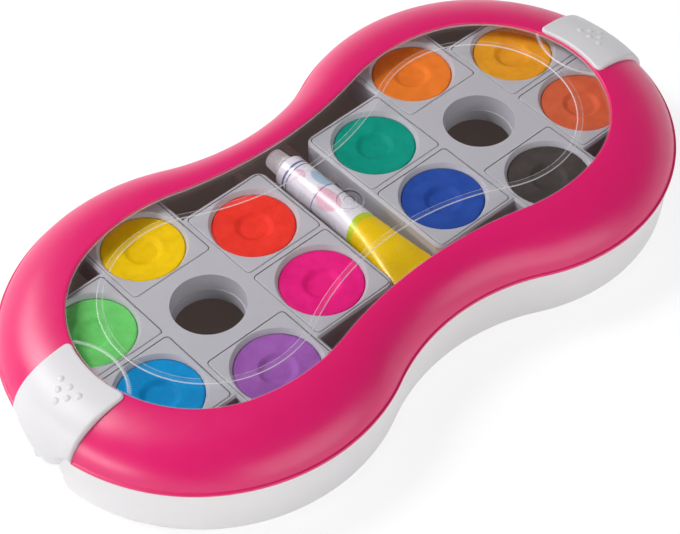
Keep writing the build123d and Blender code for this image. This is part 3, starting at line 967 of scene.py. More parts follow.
@dataclass
class LidRing:
    """The raspberry ring: a domed hoop with a bead round its foot and a notch for each latch."""

    wall: float = 1.5
    inner_gap: float = 0.2
    bead_proud: float = 0.3
    bead_top_z: float = 25.3
    foot_round: float = 0.35
    bead_round: float = 0.35
    ledge: float = 0.25
    ledge_rise: float = 0.02
    dome_start_z: float = 25.4
    dome_end_angle: float = 87.5
    crest_round: float = 0.6
    notch_half_width: float = 15.6
    notch_corner: float = 2.9
    notch_strip: float = 0.35
    notch_reach: float = 170.0
    notch_middle: float = 150.0
    notch_low_z: float = 10.0
    notch_high_z: float = 60.0
    dome_steps: int = 22

    def profile(self) -> list[Row]:
        """The ring's closed section as outlines at heights, from its inner foot round.

        Returns:
            Rows up the outside, over the crest and down the inside.
        """
        rows: list[Row] = [(LID.grown(self.inner_gap - self.wall), LID_EDGE_Z)]
        for rise, inset in rounding(self.foot_round, 4):
            rows.append((LID.grown(self.bead_proud - inset), LID_EDGE_Z + rise))
        for inset, drop in rounding(self.bead_round, 5):
            rows.append((LID.grown(self.bead_proud - inset), self.bead_top_z - drop))
        rows.append((LID.grown(-self.ledge), self.bead_top_z + self.ledge_rise))
        start = math.asin((self.dome_start_z - DOME_CENTRE_Z) / DOME_RISE)
        stop = math.radians(self.dome_end_angle)
        rows += [dome_row(0.0, a) for a in np.linspace(start, stop, self.dome_steps)]
        for drop, outset in rounding(self.crest_round, 5):
            rows.append((WINDOW.grown(outset), CREST_Z - drop))
        inner = math.asin((LID_EDGE_Z - DOME_CENTRE_Z) / (DOME_RISE - self.wall))
        rows += [dome_row(-self.wall, a) for a in np.linspace(math.pi / 2, inner, 12)]
        return rows

    def notch(self, side: Side) -> Object:
        """A tall prism over a latch: straight sides and a rounded inner end.

        The inner end follows the window's end arc, set outwards; both corners are
        arcs tangent to it and to the straight sides.

        Args:
            side: Which end of the box.

        Returns:
            The cutting object.
        """
        plan = LatchPlan(self.notch_half_width, self.notch_corner, self.notch_strip)
        outline = plan.loop(self.notch_reach)
        low, high = (level(outline, z) for z in (self.notch_low_z, self.notch_high_z))
        shell = Shell().grid(np.stack([low, high]))
        for end in (low, high):
            shell.fan(end, (self.notch_middle, 0, end[0, 2]))
        cutter = bpy.data.objects.new("notch_cutter", shell.at_end(side).mesh("notch_cutter"))
        bpy.context.scene.collection.objects.link(cutter)
        return cutter

    def build(self) -> Object:
        """Sweep the section round the outlines and cut the two notches.

        Returns:
            The finished ring.
        """
        mesh = Shell().grid(stack(self.profile()), round_rows=True).mesh("raspberry_ring")
        for side in Side:
            mesh = carve(mesh, self.notch(side))
        soften(mesh, 32.0)
        ring = publish(mesh, "lid", "lid_frame", "pink_plastic", RASPBERRY.material())
        finishing_bevel(ring, 0.3, 40.0)
        return ring


def carve(mesh: Mesh, cutter: Object) -> Mesh:
    """Take a cutter's volume out of a mesh and remove the cutter.

    Args:
        mesh: The mesh to be cut.
        cutter: A closed object.

    Returns:
        The cut mesh, under the same name.
    """
    name = mesh.name
    blank = bpy.data.objects.new("blank", mesh)
    bpy.context.scene.collection.objects.link(blank)
    boolean = blank.modifiers.new("cut", "BOOLEAN")
    boolean.operation = "DIFFERENCE"
    boolean.solver = "EXACT"
    boolean.object = cutter
    graph = bpy.context.evaluated_depsgraph_get()
    result = bpy.data.meshes.new_from_object(blank.evaluated_get(graph))
    for scrap in (blank, cutter):
        bpy.data.objects.remove(scrap)
    mesh.name = "old"
    result.name = name
    tidy(result, 1e-6)
    return result


@dataclass(frozen=True)
class LatchPlan:
    """The latch seen from above: straight sides and an inner end that follows the window."""

    half_width: float
    corner: float
    strip: float

    def loop(self, reach: float, steps: int = 10) -> np.ndarray:
        """The plan as a closed loop out to a distance along X.

        A corner's centre is a corner radius inside the straight side and lies on a
        circle concentric with the window's end arc and larger by the corner radius.

        Args:
            reach: Where the straight sides end.
            steps: Points on each corner.

        Returns:
            Array of shape (points, 2), counter-clockwise.
        """
        inner = WINDOW.grown(self.strip)
        cx, radius = inner.end_centre(), inner.end_radius
        cy = self.half_width - self.corner
        ax = cx + math.sqrt((radius + self.corner) ** 2 - cy**2)
        lean = math.atan2(cy, ax - cx)
        ends = np.linspace(lean, -lean, 18)
        middle = circle(radius, ends, (cx, 0.0))[1:-1]
        upper = circle(self.corner, np.linspace(math.pi / 2, math.pi + lean, steps), (ax, cy))
        lower = upper[::-1] * np.array([1.0, -1.0])
        out = np.array([[reach, -self.half_width], [reach, self.half_width]])
        return np.concatenate([out, upper, middle, lower])


@dataclass
class Latch:
    """A white latch: a bent plate over the ring's shoulder whose tongue ends in a rounded point."""

    side: Side
    proud: float = 1.13
    crown: float = 0.9
    wall: float = 1.5
    tongue_wall: float = 0.05
    half_width: float = 15.3
    corner: float = 2.6
    inner_x: float = 114.15
    shoulder_z: float = 24.9
    shoulder_fall: float = 0.8
    shoulder_round: float = 1.9
    tongue_half_width: float = 12.3
    tongue_end_z: float = 12.7
    tip_radius: float = 10.2
    knee_radius: float = 1.4
    foot_z: float = 8.5
    lean: float = 1.2
    edge_round: float = 0.8
    tongue_round: float = 1.8
    hinge_x: float = 133.225
    hinge_z: float = 16.0
    barrel_radius: float = 2.6
    barrel_half_length: float = 4.8
    dot_radius: float = 1.3
    dot_height: float = 0.4
    dot_pitch: float = 4.8
    dot_row_pitch: float = 3.1
    first_dot_x: float = 123.3
    dot_root: float = 0.5
    barrel_mouth: float = 38.0
    barrel_round: float = 0.5
    web: tuple[tuple[float, float], ...] = ((4.5, -0.9), (4.5, 1.9))
    blend_start: float = 2.6
    blend_length: float = 2.4
    columns: int = 28
    top_levels: int = 60
    tongue_levels: int = 40
    trail: np.ndarray = field(init=False, repr=False)

    def __post_init__(self) -> None:
        """Work out the path down the latch's middle: a length for every level."""
        foot = LID.grown(self.proud).half_length
        share = (foot - self.inner_x) / (foot - WINDOW.half_length)
        stop = self.edge_level()
        top = np.linspace(math.acos(1 - share), stop, self.top_levels)
        levels = np.concatenate([top, stop - np.linspace(0.02, 1.0, self.tongue_levels)])
        middle = self.skin(levels, np.zeros_like(levels), self.proud)
        runs = np.linalg.norm(np.diff(middle, axis=0), axis=1)
        self.trail = np.stack([np.concatenate([[0.0], np.cumsum(runs)]), levels, middle[:, 2]])

    def edge_level(self) -> float:
        """Angle at which the dome's ellipse under the latch's top meets the lid's edge."""
        return math.asin((LID_EDGE_Z - DOME_CENTRE_Z) / (DOME_RISE + self.proud))

    def skin(self, levels: np.ndarray, y: np.ndarray, height: float | np.ndarray) -> np.ndarray:
        """Points on the latch at levels, distances across and heights over the lid's skin.

        Above the lid's edge a level is the angle up the dome's quarter ellipse. Below
        it the surface carries straight on downwards and leans in towards the foot: one
        unit of level less is the whole way to the tongue's point. Across, each level
        is the end arc of its outline: x = centre + sqrt(radius^2 - y^2).

        Args:
            levels: Level of each point.
            y: Distance across of each point.
            height: Height over the lid's own skin.

        Returns:
            Array of points, one row each.
        """
        edge = np.arcsin((LID_EDGE_Z - DOME_CENTRE_Z) / (DOME_RISE + height))
        below = np.clip(self.edge_level() - levels, 0.0, None)
        angle = np.maximum(levels, edge)
        angle = np.where(below > 0, edge, angle)
        share = np.where(below > 0, 0.0, 1 - np.cos(angle))
        foot_half = LID.half_length + height - self.lean * below
        foot_radius = LID.end_radius + height - self.lean * below
        half = foot_half + (WINDOW.half_length - foot_half) * share
        radius = foot_radius + (WINDOW.end_radius - foot_radius) * share
        z_dome = DOME_CENTRE_Z + (DOME_RISE + height) * np.sin(angle)
        z = np.where(below > 0, LID_EDGE_Z - (LID_EDGE_Z - self.foot_z) * below, z_dome)
        x = half - radius + np.sqrt(radius**2 - y**2)
        return np.stack([x, y + np.zeros_like(x), z], -1)

    def crowning(self, levels: np.ndarray) -> np.ndarray:
        """Extra height of the top: crown * sin(pi * t) ^ 2.

        Args:
            levels: Level of each point; t goes from the inner end's to the lid's edge.

        Returns:
            The extra height of each point.
        """
        first, last = self.trail[1][0], self.edge_level()
        share = np.clip((first - levels) / (first - last), 0.0, 1.0)
        return self.crown * np.sin(math.pi * share) ** 2

    def length_at(self, z: float) -> float:
        """Length along the latch's middle from its inner end to a height."""
        return float(np.interp(-z, -self.trail[2], self.trail[0]))

    def edge_line(self) -> tuple[np.ndarray, np.ndarray, np.ndarray]:
        """One side of the latch's edge as length along the trail, half width and normal.

        The line runs from the inner end round its corner, down the straight side to the
        ring's lower edge, inwards along it, and round a hollow corner on to a tangent of
        the circle that ends the tongue. From a point at a distance d from the centre of
        a circle of radius r the tangent touches it arccos(r / d) off the line to the
        point.

        Returns:
            Lengths, half widths and an array of outward normals (length, width).
        """
        start, tip = self.length_at(self.shoulder_z), self.length_at(self.tongue_end_z)
        centre = tip - self.tip_radius
        knee = (start + self.shoulder_fall, self.tongue_half_width)
        away = (knee[0] - centre, knee[1])
        swing = math.atan2(away[1], away[0]) - math.acos(self.tip_radius / math.hypot(*away))
        touch = (centre + self.tip_radius * math.cos(swing), self.tip_radius * math.sin(swing))
        corners = [
            (0.0, self.half_width - self.corner),
            (0.0, self.half_width),
            (start, self.half_width),
            knee,
            touch,
        ]
        radii = [self.corner * 0.999, self.shoulder_round, self.knee_radius]
        line, normal = rounded_path(corners, radii)
        arc = np.linspace(swing, 0.0, 22)[1:]
        line = np.concatenate([line, circle(self.tip_radius, arc, (centre, 0.0))])
        normal = np.concatenate([normal, circle(1.0, arc)])
        normal[0] = (-1.0, 0.0)
        line[-1, 1] = 0.0
        return line[:, 0], line[:, 1], normal

    def surface(
        self,
        inset: np.ndarray,
        height: float | np.ndarray,
        columns: np.ndarray,
        crowned: float = 1.0,
    ) -> np.ndarray:
        """The grid of the plate at a height, drawn in from its edge by an inset per row.

        Args:
            inset: Distance in from the edge for each row.
            height: Height over the lid's skin, a number or one for each row.
            columns: Places across, from -1 to 1.
            crowned: Share of the top's extra height that this surface has.

        Returns:
            Array of shape (rows, columns, 3).
        """
        u, w, normal = self.edge_line()
        length = u - inset * normal[:, 0]
        width = w - inset * normal[:, 1]
        width[-1] = 0.0
        levels = np.interp(length, self.trail[0], self.trail[1])
        high = np.broadcast_to(np.asarray(height, float), u.shape) + crowned * self.crowning(levels)
        across = width[:, None] * columns[None, :]
        return self.skin(np.repeat(levels[:, None], len(columns), 1), across, high[:, None])

    def rim(
        self, inset: np.ndarray, height: float | np.ndarray, crowned: float = 1.0
    ) -> np.ndarray:
        """The plate's edge loop: across the inner end, down one side and up the other.

        Args:
            inset: Distance in from the edge for each row.
            height: Height over the lid's skin, a number or one for each row.
            crowned: Share of the top's extra height that this loop has.

        Returns:
            Array of shape (points, 3).
        """
        grid = self.surface(inset, height, np.linspace(-1, 1, self.columns + 1), crowned)
        return np.concatenate([grid[0], grid[1:, -1], grid[-2:0:-1, 0]])

    def dots(self, shell: Shell) -> None:
        """Add six low domes in a triangle that points outwards.

        A dome's height at a share s of its radius is its full height * (1 - s^2)^0.9.
        Each stands upright on the slope of the top under it.

        Args:
            shell: The shell that gets the domes.
        """
        share = np.linspace(1.0, 0.0, 9)
        profile = np.stack([self.dot_radius * share, self.dot_height * (1 - share**2) ** 0.9], -1)
        root = [[0.0, -self.dot_root], [self.dot_radius, -self.dot_root]]
        profile = np.concatenate([root, profile])
        levels = self.trail[1][: self.top_levels]
        height = self.proud + self.crowning(levels)
        for row in range(3):
            for place in range(3 - row):
                x = self.first_dot_x + row * self.dot_row_pitch
                y = (place - (2 - row) / 2) * self.dot_pitch
                line = self.skin(levels, np.full_like(levels, y), height)
                z = float(np.interp(x, line[:, 0], line[:, 2]))
                slope = np.gradient(line[:, 2], line[:, 0])
                tilt = math.atan(-float(np.interp(x, line[:, 0], slope)))
                matrix = Matrix.Translation((x, y, z)) @ Matrix.Rotation(tilt, 4, "Y")
                shell.lathe(profile, np.array(matrix), 24)

    def barrel(self, shell: Shell) -> None:
        """Add the hinge barrel and its web: a keyhole section drawn along Y with rounded ends.

        The section is an arc round the hinge, open by the mouth's angle to both sides
        of X, and two points further out for the web.

        Args:
            shell: The shell that gets the barrel.
        """
        mouth = math.radians(self.barrel_mouth)
        arc = self.barrel_radius * circle(1.0, np.linspace(mouth, 2 * math.pi - mouth, 30))
        section = np.concatenate([arc, self.web])
        stations = [
            (1 - drop / self.barrel_radius, inset - self.barrel_half_length)
            for inset, drop in rounding(self.barrel_round, 4)
        ]
        stations += [(scale, -y) for scale, y in reversed(stations)]
        rows = []
        for scale, y in stations:
            x, z = self.hinge_x + section[:, 0] * scale, self.hinge_z + section[:, 1] * scale
            rows.append(np.stack([x, np.full(len(section), y), z], -1))
        grid = np.stack(rows)
        shell.grid(grid)
        for end in (grid[0], grid[-1]):
            shell.fan(end, (self.hinge_x, end[0, 1], self.hinge_z))

    def build(self) -> Object:
        """Join the top, the rounded rim, the underside, the dots and the barrel.

        The rounding of the edge grows, and the wall gets thinner, by one eased share
        that begins a little above the lid's edge and is whole just before it.

        Returns:
            The finished latch.
        """
        lengths = self.edge_line()[0]
        past = lengths - self.length_at(LID_EDGE_Z) + self.blend_start
        blend = eased(np.clip(past / self.blend_length, 0.0, 1.0))
        radius = self.edge_round + (self.tongue_round - self.edge_round) * blend
        columns = np.linspace(-1, 1, self.columns + 1)
        shell = Shell()
        shell.grid(self.surface(radius, self.proud, columns), round_columns=False)
        rims = [self.rim(inset, self.proud - drop) for drop, inset in rounding(radius, 6)]
        flush = np.zeros_like(radius)
        under = -self.wall + (self.wall - self.tongue_wall) * blend
        rims.append(self.rim(flush, under, 0.0))
        shell.grid(np.stack(rims))
        shell.grid(self.surface(flush, under, columns, 0.0), round_columns=False)
        self.dots(shell)
        self.barrel(shell)
        name = self.side.label
        plate = shell.at_end(self.side).mesh(f"{name}_latch_plate", 40.0)
        # The latch wears the white plastic darkened as painted shade.
        finish = SHADED_LATCH_WHITE.material()
        return publish(plate, f"{name}_latch", f"latch_{name}", "white_plastic", finish)


@dataclass
class HingePin:
    """A plain steel pin with chamfered ends, along Y at the foot of a latch."""

    side: Side
    radius: float = 1.2
    chamfer: float = 0.3
    x: float = 133.225
    z: float = 16.0
    half_length: float = 17.017

    def build(self) -> Object:
        """Turn the pin's profile about its own line.

        Returns:
            The finished pin.
        """
        end, thin = self.half_length, self.radius - self.chamfer
        profile = np.array([
            [0.0, -end], [thin, -end], [self.radius, -end + self.chamfer], [self.radius, 0.0],
            [self.radius, end - self.chamfer], [thin, end], [0.0, end],
        ])
        place = Matrix.Translation((self.side.value * self.x, 0, self.z))
        turn = place @ Matrix.Rotation(math.pi / 2, 4, "X")
        name = self.side.label
        pin = Shell().lathe(profile, np.array(turn), 32).mesh(f"steel_pin_{name}", 30.0)
        finish = DrawnSteel(f"drawn_steel_{name}").material()
        return publish(pin, "base", f"hinge_pin_{name}", "pin_steel", finish)


@dataclass
class Tub:
    """The white tub: tapering walls with a finger scoop at each end, ledge and locating lip."""

    height: float = 23.8
    taper: float = 1.5
    wall: float = 1.8
    floor: float = 1.8
    foot_round: float = 3.4
    top_round: float = 0.5
    foot_rim: float = 6.0
    recess: float = 0.8
    ledge: float = 4.8
    ledge_under_z: float = 22.2
    lip_outer: float = 3.0
    lip_inner: float = 4.4
    lip_top_z: float = 27.0
    scoop_bottom_x: float = 128.425
    scoop_run: float = 9.3
    scoop_low_half: float = 7.4
    scoop_high_half: float = 9.0
    scoop_low_z: float = 15.0
    scoop_blend: float = 4.0
    scoop_foot_blend: float = 14.0
    scoop_foot_z: float = 13.0
    scoop_foot_gain: float = 0.9
    foot_chamfer: float = 0.3
    lip_chamfer: float = 0.3
    lip_round: float = 0.35
    step: float = 0.05
    wall_levels: tuple[float, ...] = (4.0, 6.0, 8.0, 10.5, 13.0, 16.0, 19.0, 21.5)
    boss_middle: tuple[float, float] = (131.6, 15.8)
    boss_half: tuple[float, float] = (1.9, 2.9)
    boss_low_z: float = 12.0
    boss_high_z: float = 20.0
    boss_chamfer: float = 0.3
    end_steps: int = 300

    def loop(self, growth: float, scoop_gain: float, z: float) -> np.ndarray:
        """The tub's plan at one level, with both finger scoops.

        A scoop's x is its bottom + run * (|y| / half width) ^ 4, and its half width
        grows smoothly towards the top as the latch's tongue in it does. It is mixed
        with the outline's x by a smooth least of the two, so their corner is rounded:
        min(a, b) less the blend times a bump that fades as the two part. The blend
        grows towards the foot, where the corner is rounded most.

        Args:
            growth: Distance outside the tub's upper outline.
            scoop_gain: How much larger the scoop is at this level.
            z: Height of the level.

        Returns:
            Array of shape (points, 3).
        """
        plan = BASE.grown(growth).loop(end_steps=self.end_steps, shoulder_steps=40, waist_steps=56)
        share = min(1.0, max(0.0, (z - self.scoop_low_z) / (self.height - self.scoop_low_z)))
        widen = (self.scoop_high_half - self.scoop_low_half) * eased(share)
        half = self.scoop_low_half + widen + scoop_gain
        y = plan[:, 1]
        scoop = self.scoop_bottom_x - scoop_gain + self.scoop_run * (np.abs(y) / half) ** 4
        reach = np.abs(plan[:, 0])
        low = max(0.0, 1 - z / self.scoop_foot_z) ** 1.5
        blend = self.scoop_blend + (self.scoop_foot_blend - self.scoop_blend) * low
        near = np.clip(0.5 + 0.5 * (scoop - reach) / blend, 0.0, 1.0)
        smooth = reach * near + scoop * (1 - near) - blend * near * (1 - near)
        smooth = np.where(reach > 60, smooth, reach)
        return level(np.stack([np.sign(plan[:, 0]) * smooth, y], -1), z)

    def lean(self, z: float) -> float:
        """The wall's growth over its upper outline: minus the taper times 1 - z / height."""
        return -self.taper * (1 - z / self.height)

    def outside(self) -> list[np.ndarray]:
        """Levels from the foot's recess out, up the wall, over the ledge and lip, down inside.

        Returns:
            Closed loops of points, all with the same number.
        """
        wide = self.foot_round + self.foot_rim
        near = wide - self.foot_chamfer
        levels = [(-self.taper - wide, wide, self.recess), (-self.taper - near, near, 0.0)]
        for z, inset in rounding(self.foot_round, 7):
            gain = self.scoop_foot_gain * inset / self.foot_round
            levels.append((self.lean(z) - inset, gain, z))
        levels += [(self.lean(z), 0.0, z) for z in self.wall_levels]
        for inset, drop in rounding(self.top_round, 5):
            levels.append((-inset, 0.0, self.height - drop))
        levels.append((-self.lip_outer + self.lip_chamfer, 0.0, self.height))
        levels.append((-self.lip_outer, 0.0, self.height + self.lip_chamfer))
        for inset, drop in rounding(self.lip_round, 4):
            levels.append((-self.lip_outer - inset, inset, self.lip_top_z - drop))
        for drop, inset in rounding(self.lip_round, 4):
            levels.append((-self.lip_inner + inset, self.wall - inset, self.lip_top_z - drop))
        under = self.ledge_under_z
        levels += [
            (-self.lip_inner, self.wall, self.height),
            (-self.ledge, self.wall, self.height - self.step),
            (-self.ledge, self.wall, under),
            (self.lean(under) - self.wall, self.wall, under - self.step),
            (-self.taper - self.wall, self.wall, self.floor),
        ]
        return [self.loop(*row) for row in levels]

    def bosses(self, shell: Shell) -> None:
        """Add the four blocks that hold the hinge pins' ends: rounded squares drawn upwards.

        Args:
            shell: The shell that gets the blocks.
        """
        plan = rounded_square(1.0, 0.25, 2, 4)
        soft, low, high = self.boss_chamfer, self.boss_low_z, self.boss_high_z
        levels = ((soft, low), (0.0, low + soft), (0.0, high - soft), (soft, high))
        for side in Side:
            for row in (-1, 1):
                middle = np.array([self.boss_middle[0], row * self.boss_middle[1]])
                grid = np.stack([
                    mirrored(level(plan * (np.array(self.boss_half) - shrink) + middle, z), side)
                    for shrink, z in levels
                ])
                shell.grid(grid).fan(grid[0], grid[0].mean(0)).fan(grid[-1], grid[-1].mean(0))

    def build(self) -> Object:
        """Sweep the levels round, close floor and foot, and add the pin bosses.

        Returns:
            The finished tub.
        """
        rows = self.outside()
        shell = Shell().grid(np.stack(rows))
        shell.fan(rows[0], (0, 0, self.recess)).fan(rows[-1], (0, 0, self.floor))
        self.bosses(shell)
        tub = shell.mesh("white_tub", 32.0)
        return publish(tub, "base", "base_shell", "white_plastic", WHITE.material())


PaintedLightRow = tuple[np.ndarray, np.ndarray | float]


@dataclass
class ClearLid:
    """The clear plate in the ring, with a moulded ridge, two end arcs and a centre ring.

    Some fields set painted light that the material reads: a painted highlight on
    the plate's moulded edges and flanks, and painted shade on a bead's inner flank.
    """

    flange: float = 1.5
    flange_low_z: float = 35.1
    flange_top_z: float = 36.4
    field_gap: float = 0.12
    field_z: float = 37.6
    edge_round: float = 0.4
    ridge_half_width: float = 1.1
    ridge_height: float = 0.6
    arc_x: float = 128.325
    arc_radius: float = 23.2
    arc_half_width: float = 0.75
    arc_height: float = 0.4
    ring_radius: float = 5.5
    ring_width: float = 1.2
    mark_radius: float = 2.7
    mark_width: float = 0.9
    mark_height: float = 0.3
    flange_round: float = 0.25
    foot_inset: float = 1.0
    bead_gap: float = 0.05
    # Painted highlight on the plate's edges, arcs and beads, and painted shade on a bead's inner
    # flank.
    edge_painted_highlight: float = 0.8
    foot_painted_highlight: float = 0.4
    arc_flank_painted_highlight: float = 0.75
    arc_crest_painted_highlight: float = 0.35
    bead_painted_highlight: float = 0.8
    bead_painted_shade: float = -0.75
    field_shares: tuple[float, ...] = (0.004, 0.35, 0.7, 0.95)
    end_steps: int = 190
    shoulder_steps: int = 30
    waist_steps: int = 40

    def plan(self, outline: Outline) -> np.ndarray:
        """Plan points of an outline at this plate's spacing."""
        return outline.loop(self.end_steps, self.shoulder_steps, self.waist_steps)

    def field_rows(self) -> list[PaintedLightRow]:
        """Levels over the top: rounded edge, end arcs, ridge, and in to the centre ring.

        Between the plate's edge and the ridge the points move in a straight line, and
        an end arc lifts them by height * cos(pi / 2 * d)^2, d being their distance from
        its circle over its half width. At a turn a from 0 to pi the ridge stands
        height * sin(a)^0.7 high. Each level has the painted highlight of its points,
        which is most on the flanks: on the ridge it goes from 0.05 to 1 as |cos a| goes
        from 0.66 to 0.94. The centre ring and the mark in it are small beads of their own.

        Returns:
            Loops of points, each with its painted highlight or painted shade.
        """
        edge = self.plan(WINDOW.grown(-self.field_gap))
        inner = self.plan(WINDOW.grown(-self.field_gap - self.edge_round))
        # The plate's edge and its rounding get a painted highlight.
        rows: list[PaintedLightRow] = [
            (level(edge, self.flange_top_z), 0.6),
            (level(edge, self.field_z - self.edge_round), self.edge_painted_highlight),
        ]
        for inset, drop in rounding(self.edge_round, 4)[1:]:
            plan = self.plan(WINDOW.grown(-self.field_gap - inset))
            tone = self.edge_painted_highlight * (1 - inset / self.edge_round)
            rows.append((level(plan, self.field_z - drop), tone))
        ridge = self.plan(RIDGE.grown(self.ridge_half_width))
        # Painted highlight on the end arcs' flanks and crest.
        for share in np.linspace(0.0, 1.0, 96)[1:]:
            plan = inner + (ridge - inner) * share
            away = np.abs(np.hypot(np.abs(plan[:, 0]) - self.arc_x, plan[:, 1]) - self.arc_radius)
            part = np.clip(away / self.arc_half_width, 0.0, 1.0)
            row = level(plan, self.field_z)
            row[:, 2] += self.arc_height * np.cos(part * math.pi / 2) ** 2
            flank, crest = np.sin(np.pi * part) ** 2, (1 - part) ** 2
            rows.append((row, self.arc_flank_painted_highlight * flank + self.arc_crest_painted_highlight * crest))
        rows[-1] = (rows[-1][0], self.foot_painted_highlight)
        # The ridge's flanks get a painted highlight.
        for a in np.linspace(0, math.pi, 16)[1:]:
            plan = self.plan(RIDGE.grown(self.ridge_half_width * math.cos(a)))
            pale = 0.05 + 0.95 * float(np.clip((abs(math.cos(a)) - 0.66) / 0.28, 0.0, 1.0))
            rows.append((level(plan, self.field_z + self.ridge_height * math.sin(a) ** 0.7), pale))
        rows[-1] = (rows[-1][0], self.foot_painted_highlight)
        last = rows[-1][0][:, :2]
        angles = np.arctan2(last[:, 1], last[:, 0])
        for share in self.field_shares:
            plan = last + (circle(self.ring_radius, angles) - last) * share
            rows.append((level(plan, self.field_z), 0.0))
        rows += self.ring_rows(self.ring_radius, self.ring_width, self.ridge_height, angles)
        rows += self.ring_rows(self.mark_radius, self.mark_width, self.mark_height, angles)
        return rows

    def ring_rows(
        self, outer: float, width: float, height: float, angles: np.ndarray
    ) -> list[PaintedLightRow]:
        """Levels over one small round bead, from its outside in, with flat ground beside it.

        At a turn a from 0 to pi the radius is outer - width * (1 - cos a) / 2 and the
        height is the bead's height times sin a. The outer flank gets a painted highlight
        and the inner one painted shade, both by cos(a)^2.

        Args:
            outer: The bead's outer radius.
            width: The bead's width.
            height: How far it stands up.
            angles: Directions of the points from the middle.

        Returns:
            Loops of points, each with its painted highlight or painted shade.
        """
        beside = circle(outer + self.bead_gap, angles)
        rows: list[PaintedLightRow] = [(level(beside, self.field_z), 0.0)]
        for a in np.linspace(0, math.pi, 12):
            tone = (self.bead_painted_highlight if a < math.pi / 2 else self.bead_painted_shade) * math.cos(a) ** 2
            radius = outer - width * (1 - math.cos(a)) / 2
            rows.append((level(circle(radius, angles), self.field_z + height * math.sin(a)), tone))
        within = circle(outer - width - self.bead_gap, angles)
        return rows + [(level(within, self.field_z), 0.0)]

    def build(self) -> Object:
        """Join the top's levels to the flange and close the plate underneath.

        Returns:
            The finished plate.
        """
        soft = self.flange_round
        rim = self.plan(WINDOW.grown(self.flange))
        near = self.plan(WINDOW.grown(self.flange - soft))
        low = self.plan(WINDOW.grown(-self.field_gap - self.foot_inset))
        # The flange's rounded edge gets a painted highlight.
        rows: list[PaintedLightRow] = [
            (level(low, self.flange_low_z), 0.0),
            (level(near, self.flange_low_z), 0.3),
            (level(rim, self.flange_low_z + soft), 0.5),
            (level(rim, self.flange_top_z - soft), 0.5),
            (level(near, self.flange_top_z), 0.3),
        ]
        rows += self.field_rows()
        grid = np.stack([points for points, _ in rows])
        tones = [np.asarray(tone, float) for _, tone in rows]
        pale = np.stack([np.broadcast_to(tone, grid.shape[1:2]) for tone in tones])
        shell = Shell().grid(grid, weights=pale)
        shell.fan(grid[0], (0, 0, self.flange_low_z)).fan(grid[-1], (0, 0, self.field_z))
        plate, finish = shell.mesh("clear_plate", 30.0), ClearPlastic("clear_moulding").material()
        return publish(plate, "lid", "lid_window", "clear_plastic", finish)


class PanPlace(Enum):
    """Column and row of each pan on its tray, with the tray's side and the paint's colour."""

    green = (Side.LEFT, -1, 0.5, (116, 220, 114))
    light_blue = (Side.LEFT, -1, -0.5, (8, 148, 216))
    yellow = (Side.LEFT, 0, 1, (255, 209, 0))
    violet = (Side.LEFT, 0, -1, (166, 96, 186))
    red = (Side.LEFT, 1, 0.5, (255, 56, 42))
    magenta = (Side.LEFT, 1, -0.5, (248, 26, 134))
    turquoise = (Side.RIGHT, -1, 0.5, (0, 156, 134))
    ultramarine = (Side.RIGHT, -1, -0.5, (40, 78, 172))
    orange = (Side.RIGHT, 0, 1, (255, 132, 42))
    black = (Side.RIGHT, 0, -1, (77, 69, 68))
    ochre = (Side.RIGHT, 1, 0.5, (246, 164, 36))
    sienna = (Side.RIGHT, 1, -0.5, (228, 104, 66))

    @property
    def centre(self) -> tuple[float, float]:
        """Plan position: the tray's middle plus column and row times the pitch."""
        side, column, row, _ = self.value
        return (side.value * TRAY_X + column * PITCH, row * PITCH)

    @property
    def colour(self) -> Colour:
        """The paint's colour."""
        return self.value[3]


@dataclass
class Pan:
    """A square grey pan with a round well whose rim slopes down to the paint."""

    place: PanPlace
    half: float = 16.725
    corner: float = 1.5
    low_z: float = 24.1
    well_floor_z: float = 25.6
    top_z: float = TRAY_TOP_Z
    lip_radius: float = 16.2
    well_radius: float = 15.1
    slope_z: float = 31.5
    slope_round: float = 0.15
    middle_z: float = 28.0
    least_corner: float = 0.6
    edge_round: float = 0.4
    lip_round: float = 0.3

    def build(self, finish: Material) -> Object:
        """Loops from the pan's bottom up its sides, over the rim and down the well.

        Each loop goes from the rounded square to the round well along the same
        directions from the middle, so the top is one even band of faces.

        Args:
            finish: The grey plastic.

        Returns:
            The finished pan.
        """
        square = rounded_square(self.half, self.corner)
        angles = np.arctan2(square[:, 1], square[:, 0])
        soft = self.edge_round

        def inner(inset: float, z: float) -> np.ndarray:
            """The square drawn in by an inset."""
            corner = max(self.corner - inset, self.least_corner)
            return level(rounded_square(self.half - inset, corner), z)

        def well(radius: float, z: float) -> np.ndarray:
            """The round well at a radius."""
            return level(circle(radius, angles), z)

        rows = [inner(soft, self.low_z), inner(0.0, self.low_z + soft), inner(0.0, self.middle_z)]
        rows += [inner(inset, self.top_z - drop) for inset, drop in rounding(soft, 5)]
        lip = self.lip_round
        rows += [
            inner(soft + 0.05, self.top_z),
            well(self.lip_radius + lip, self.top_z),
            well(self.lip_radius, self.top_z - 0.1 * lip),
            well(self.lip_radius - lip, self.top_z - 1.1 * lip),
            well(self.well_radius + self.slope_round, self.slope_z + self.slope_round),
            well(self.well_radius, self.slope_z - 0.1),
            well(self.well_radius, self.well_floor_z),
        ]
        grid = np.stack(rows)
        shell = Shell().grid(grid)
        shell.fan(grid[0], (0, 0, self.low_z)).fan(grid[-1], (0, 0, self.well_floor_z))
        name = self.place.name
        pan = shell.moved((*self.place.centre, 0.0)).mesh(f"grey_pan_{name}", 30.0)
        return publish(pan, f"{name}_pan", f"pan_{name}", "grey_plastic", finish)


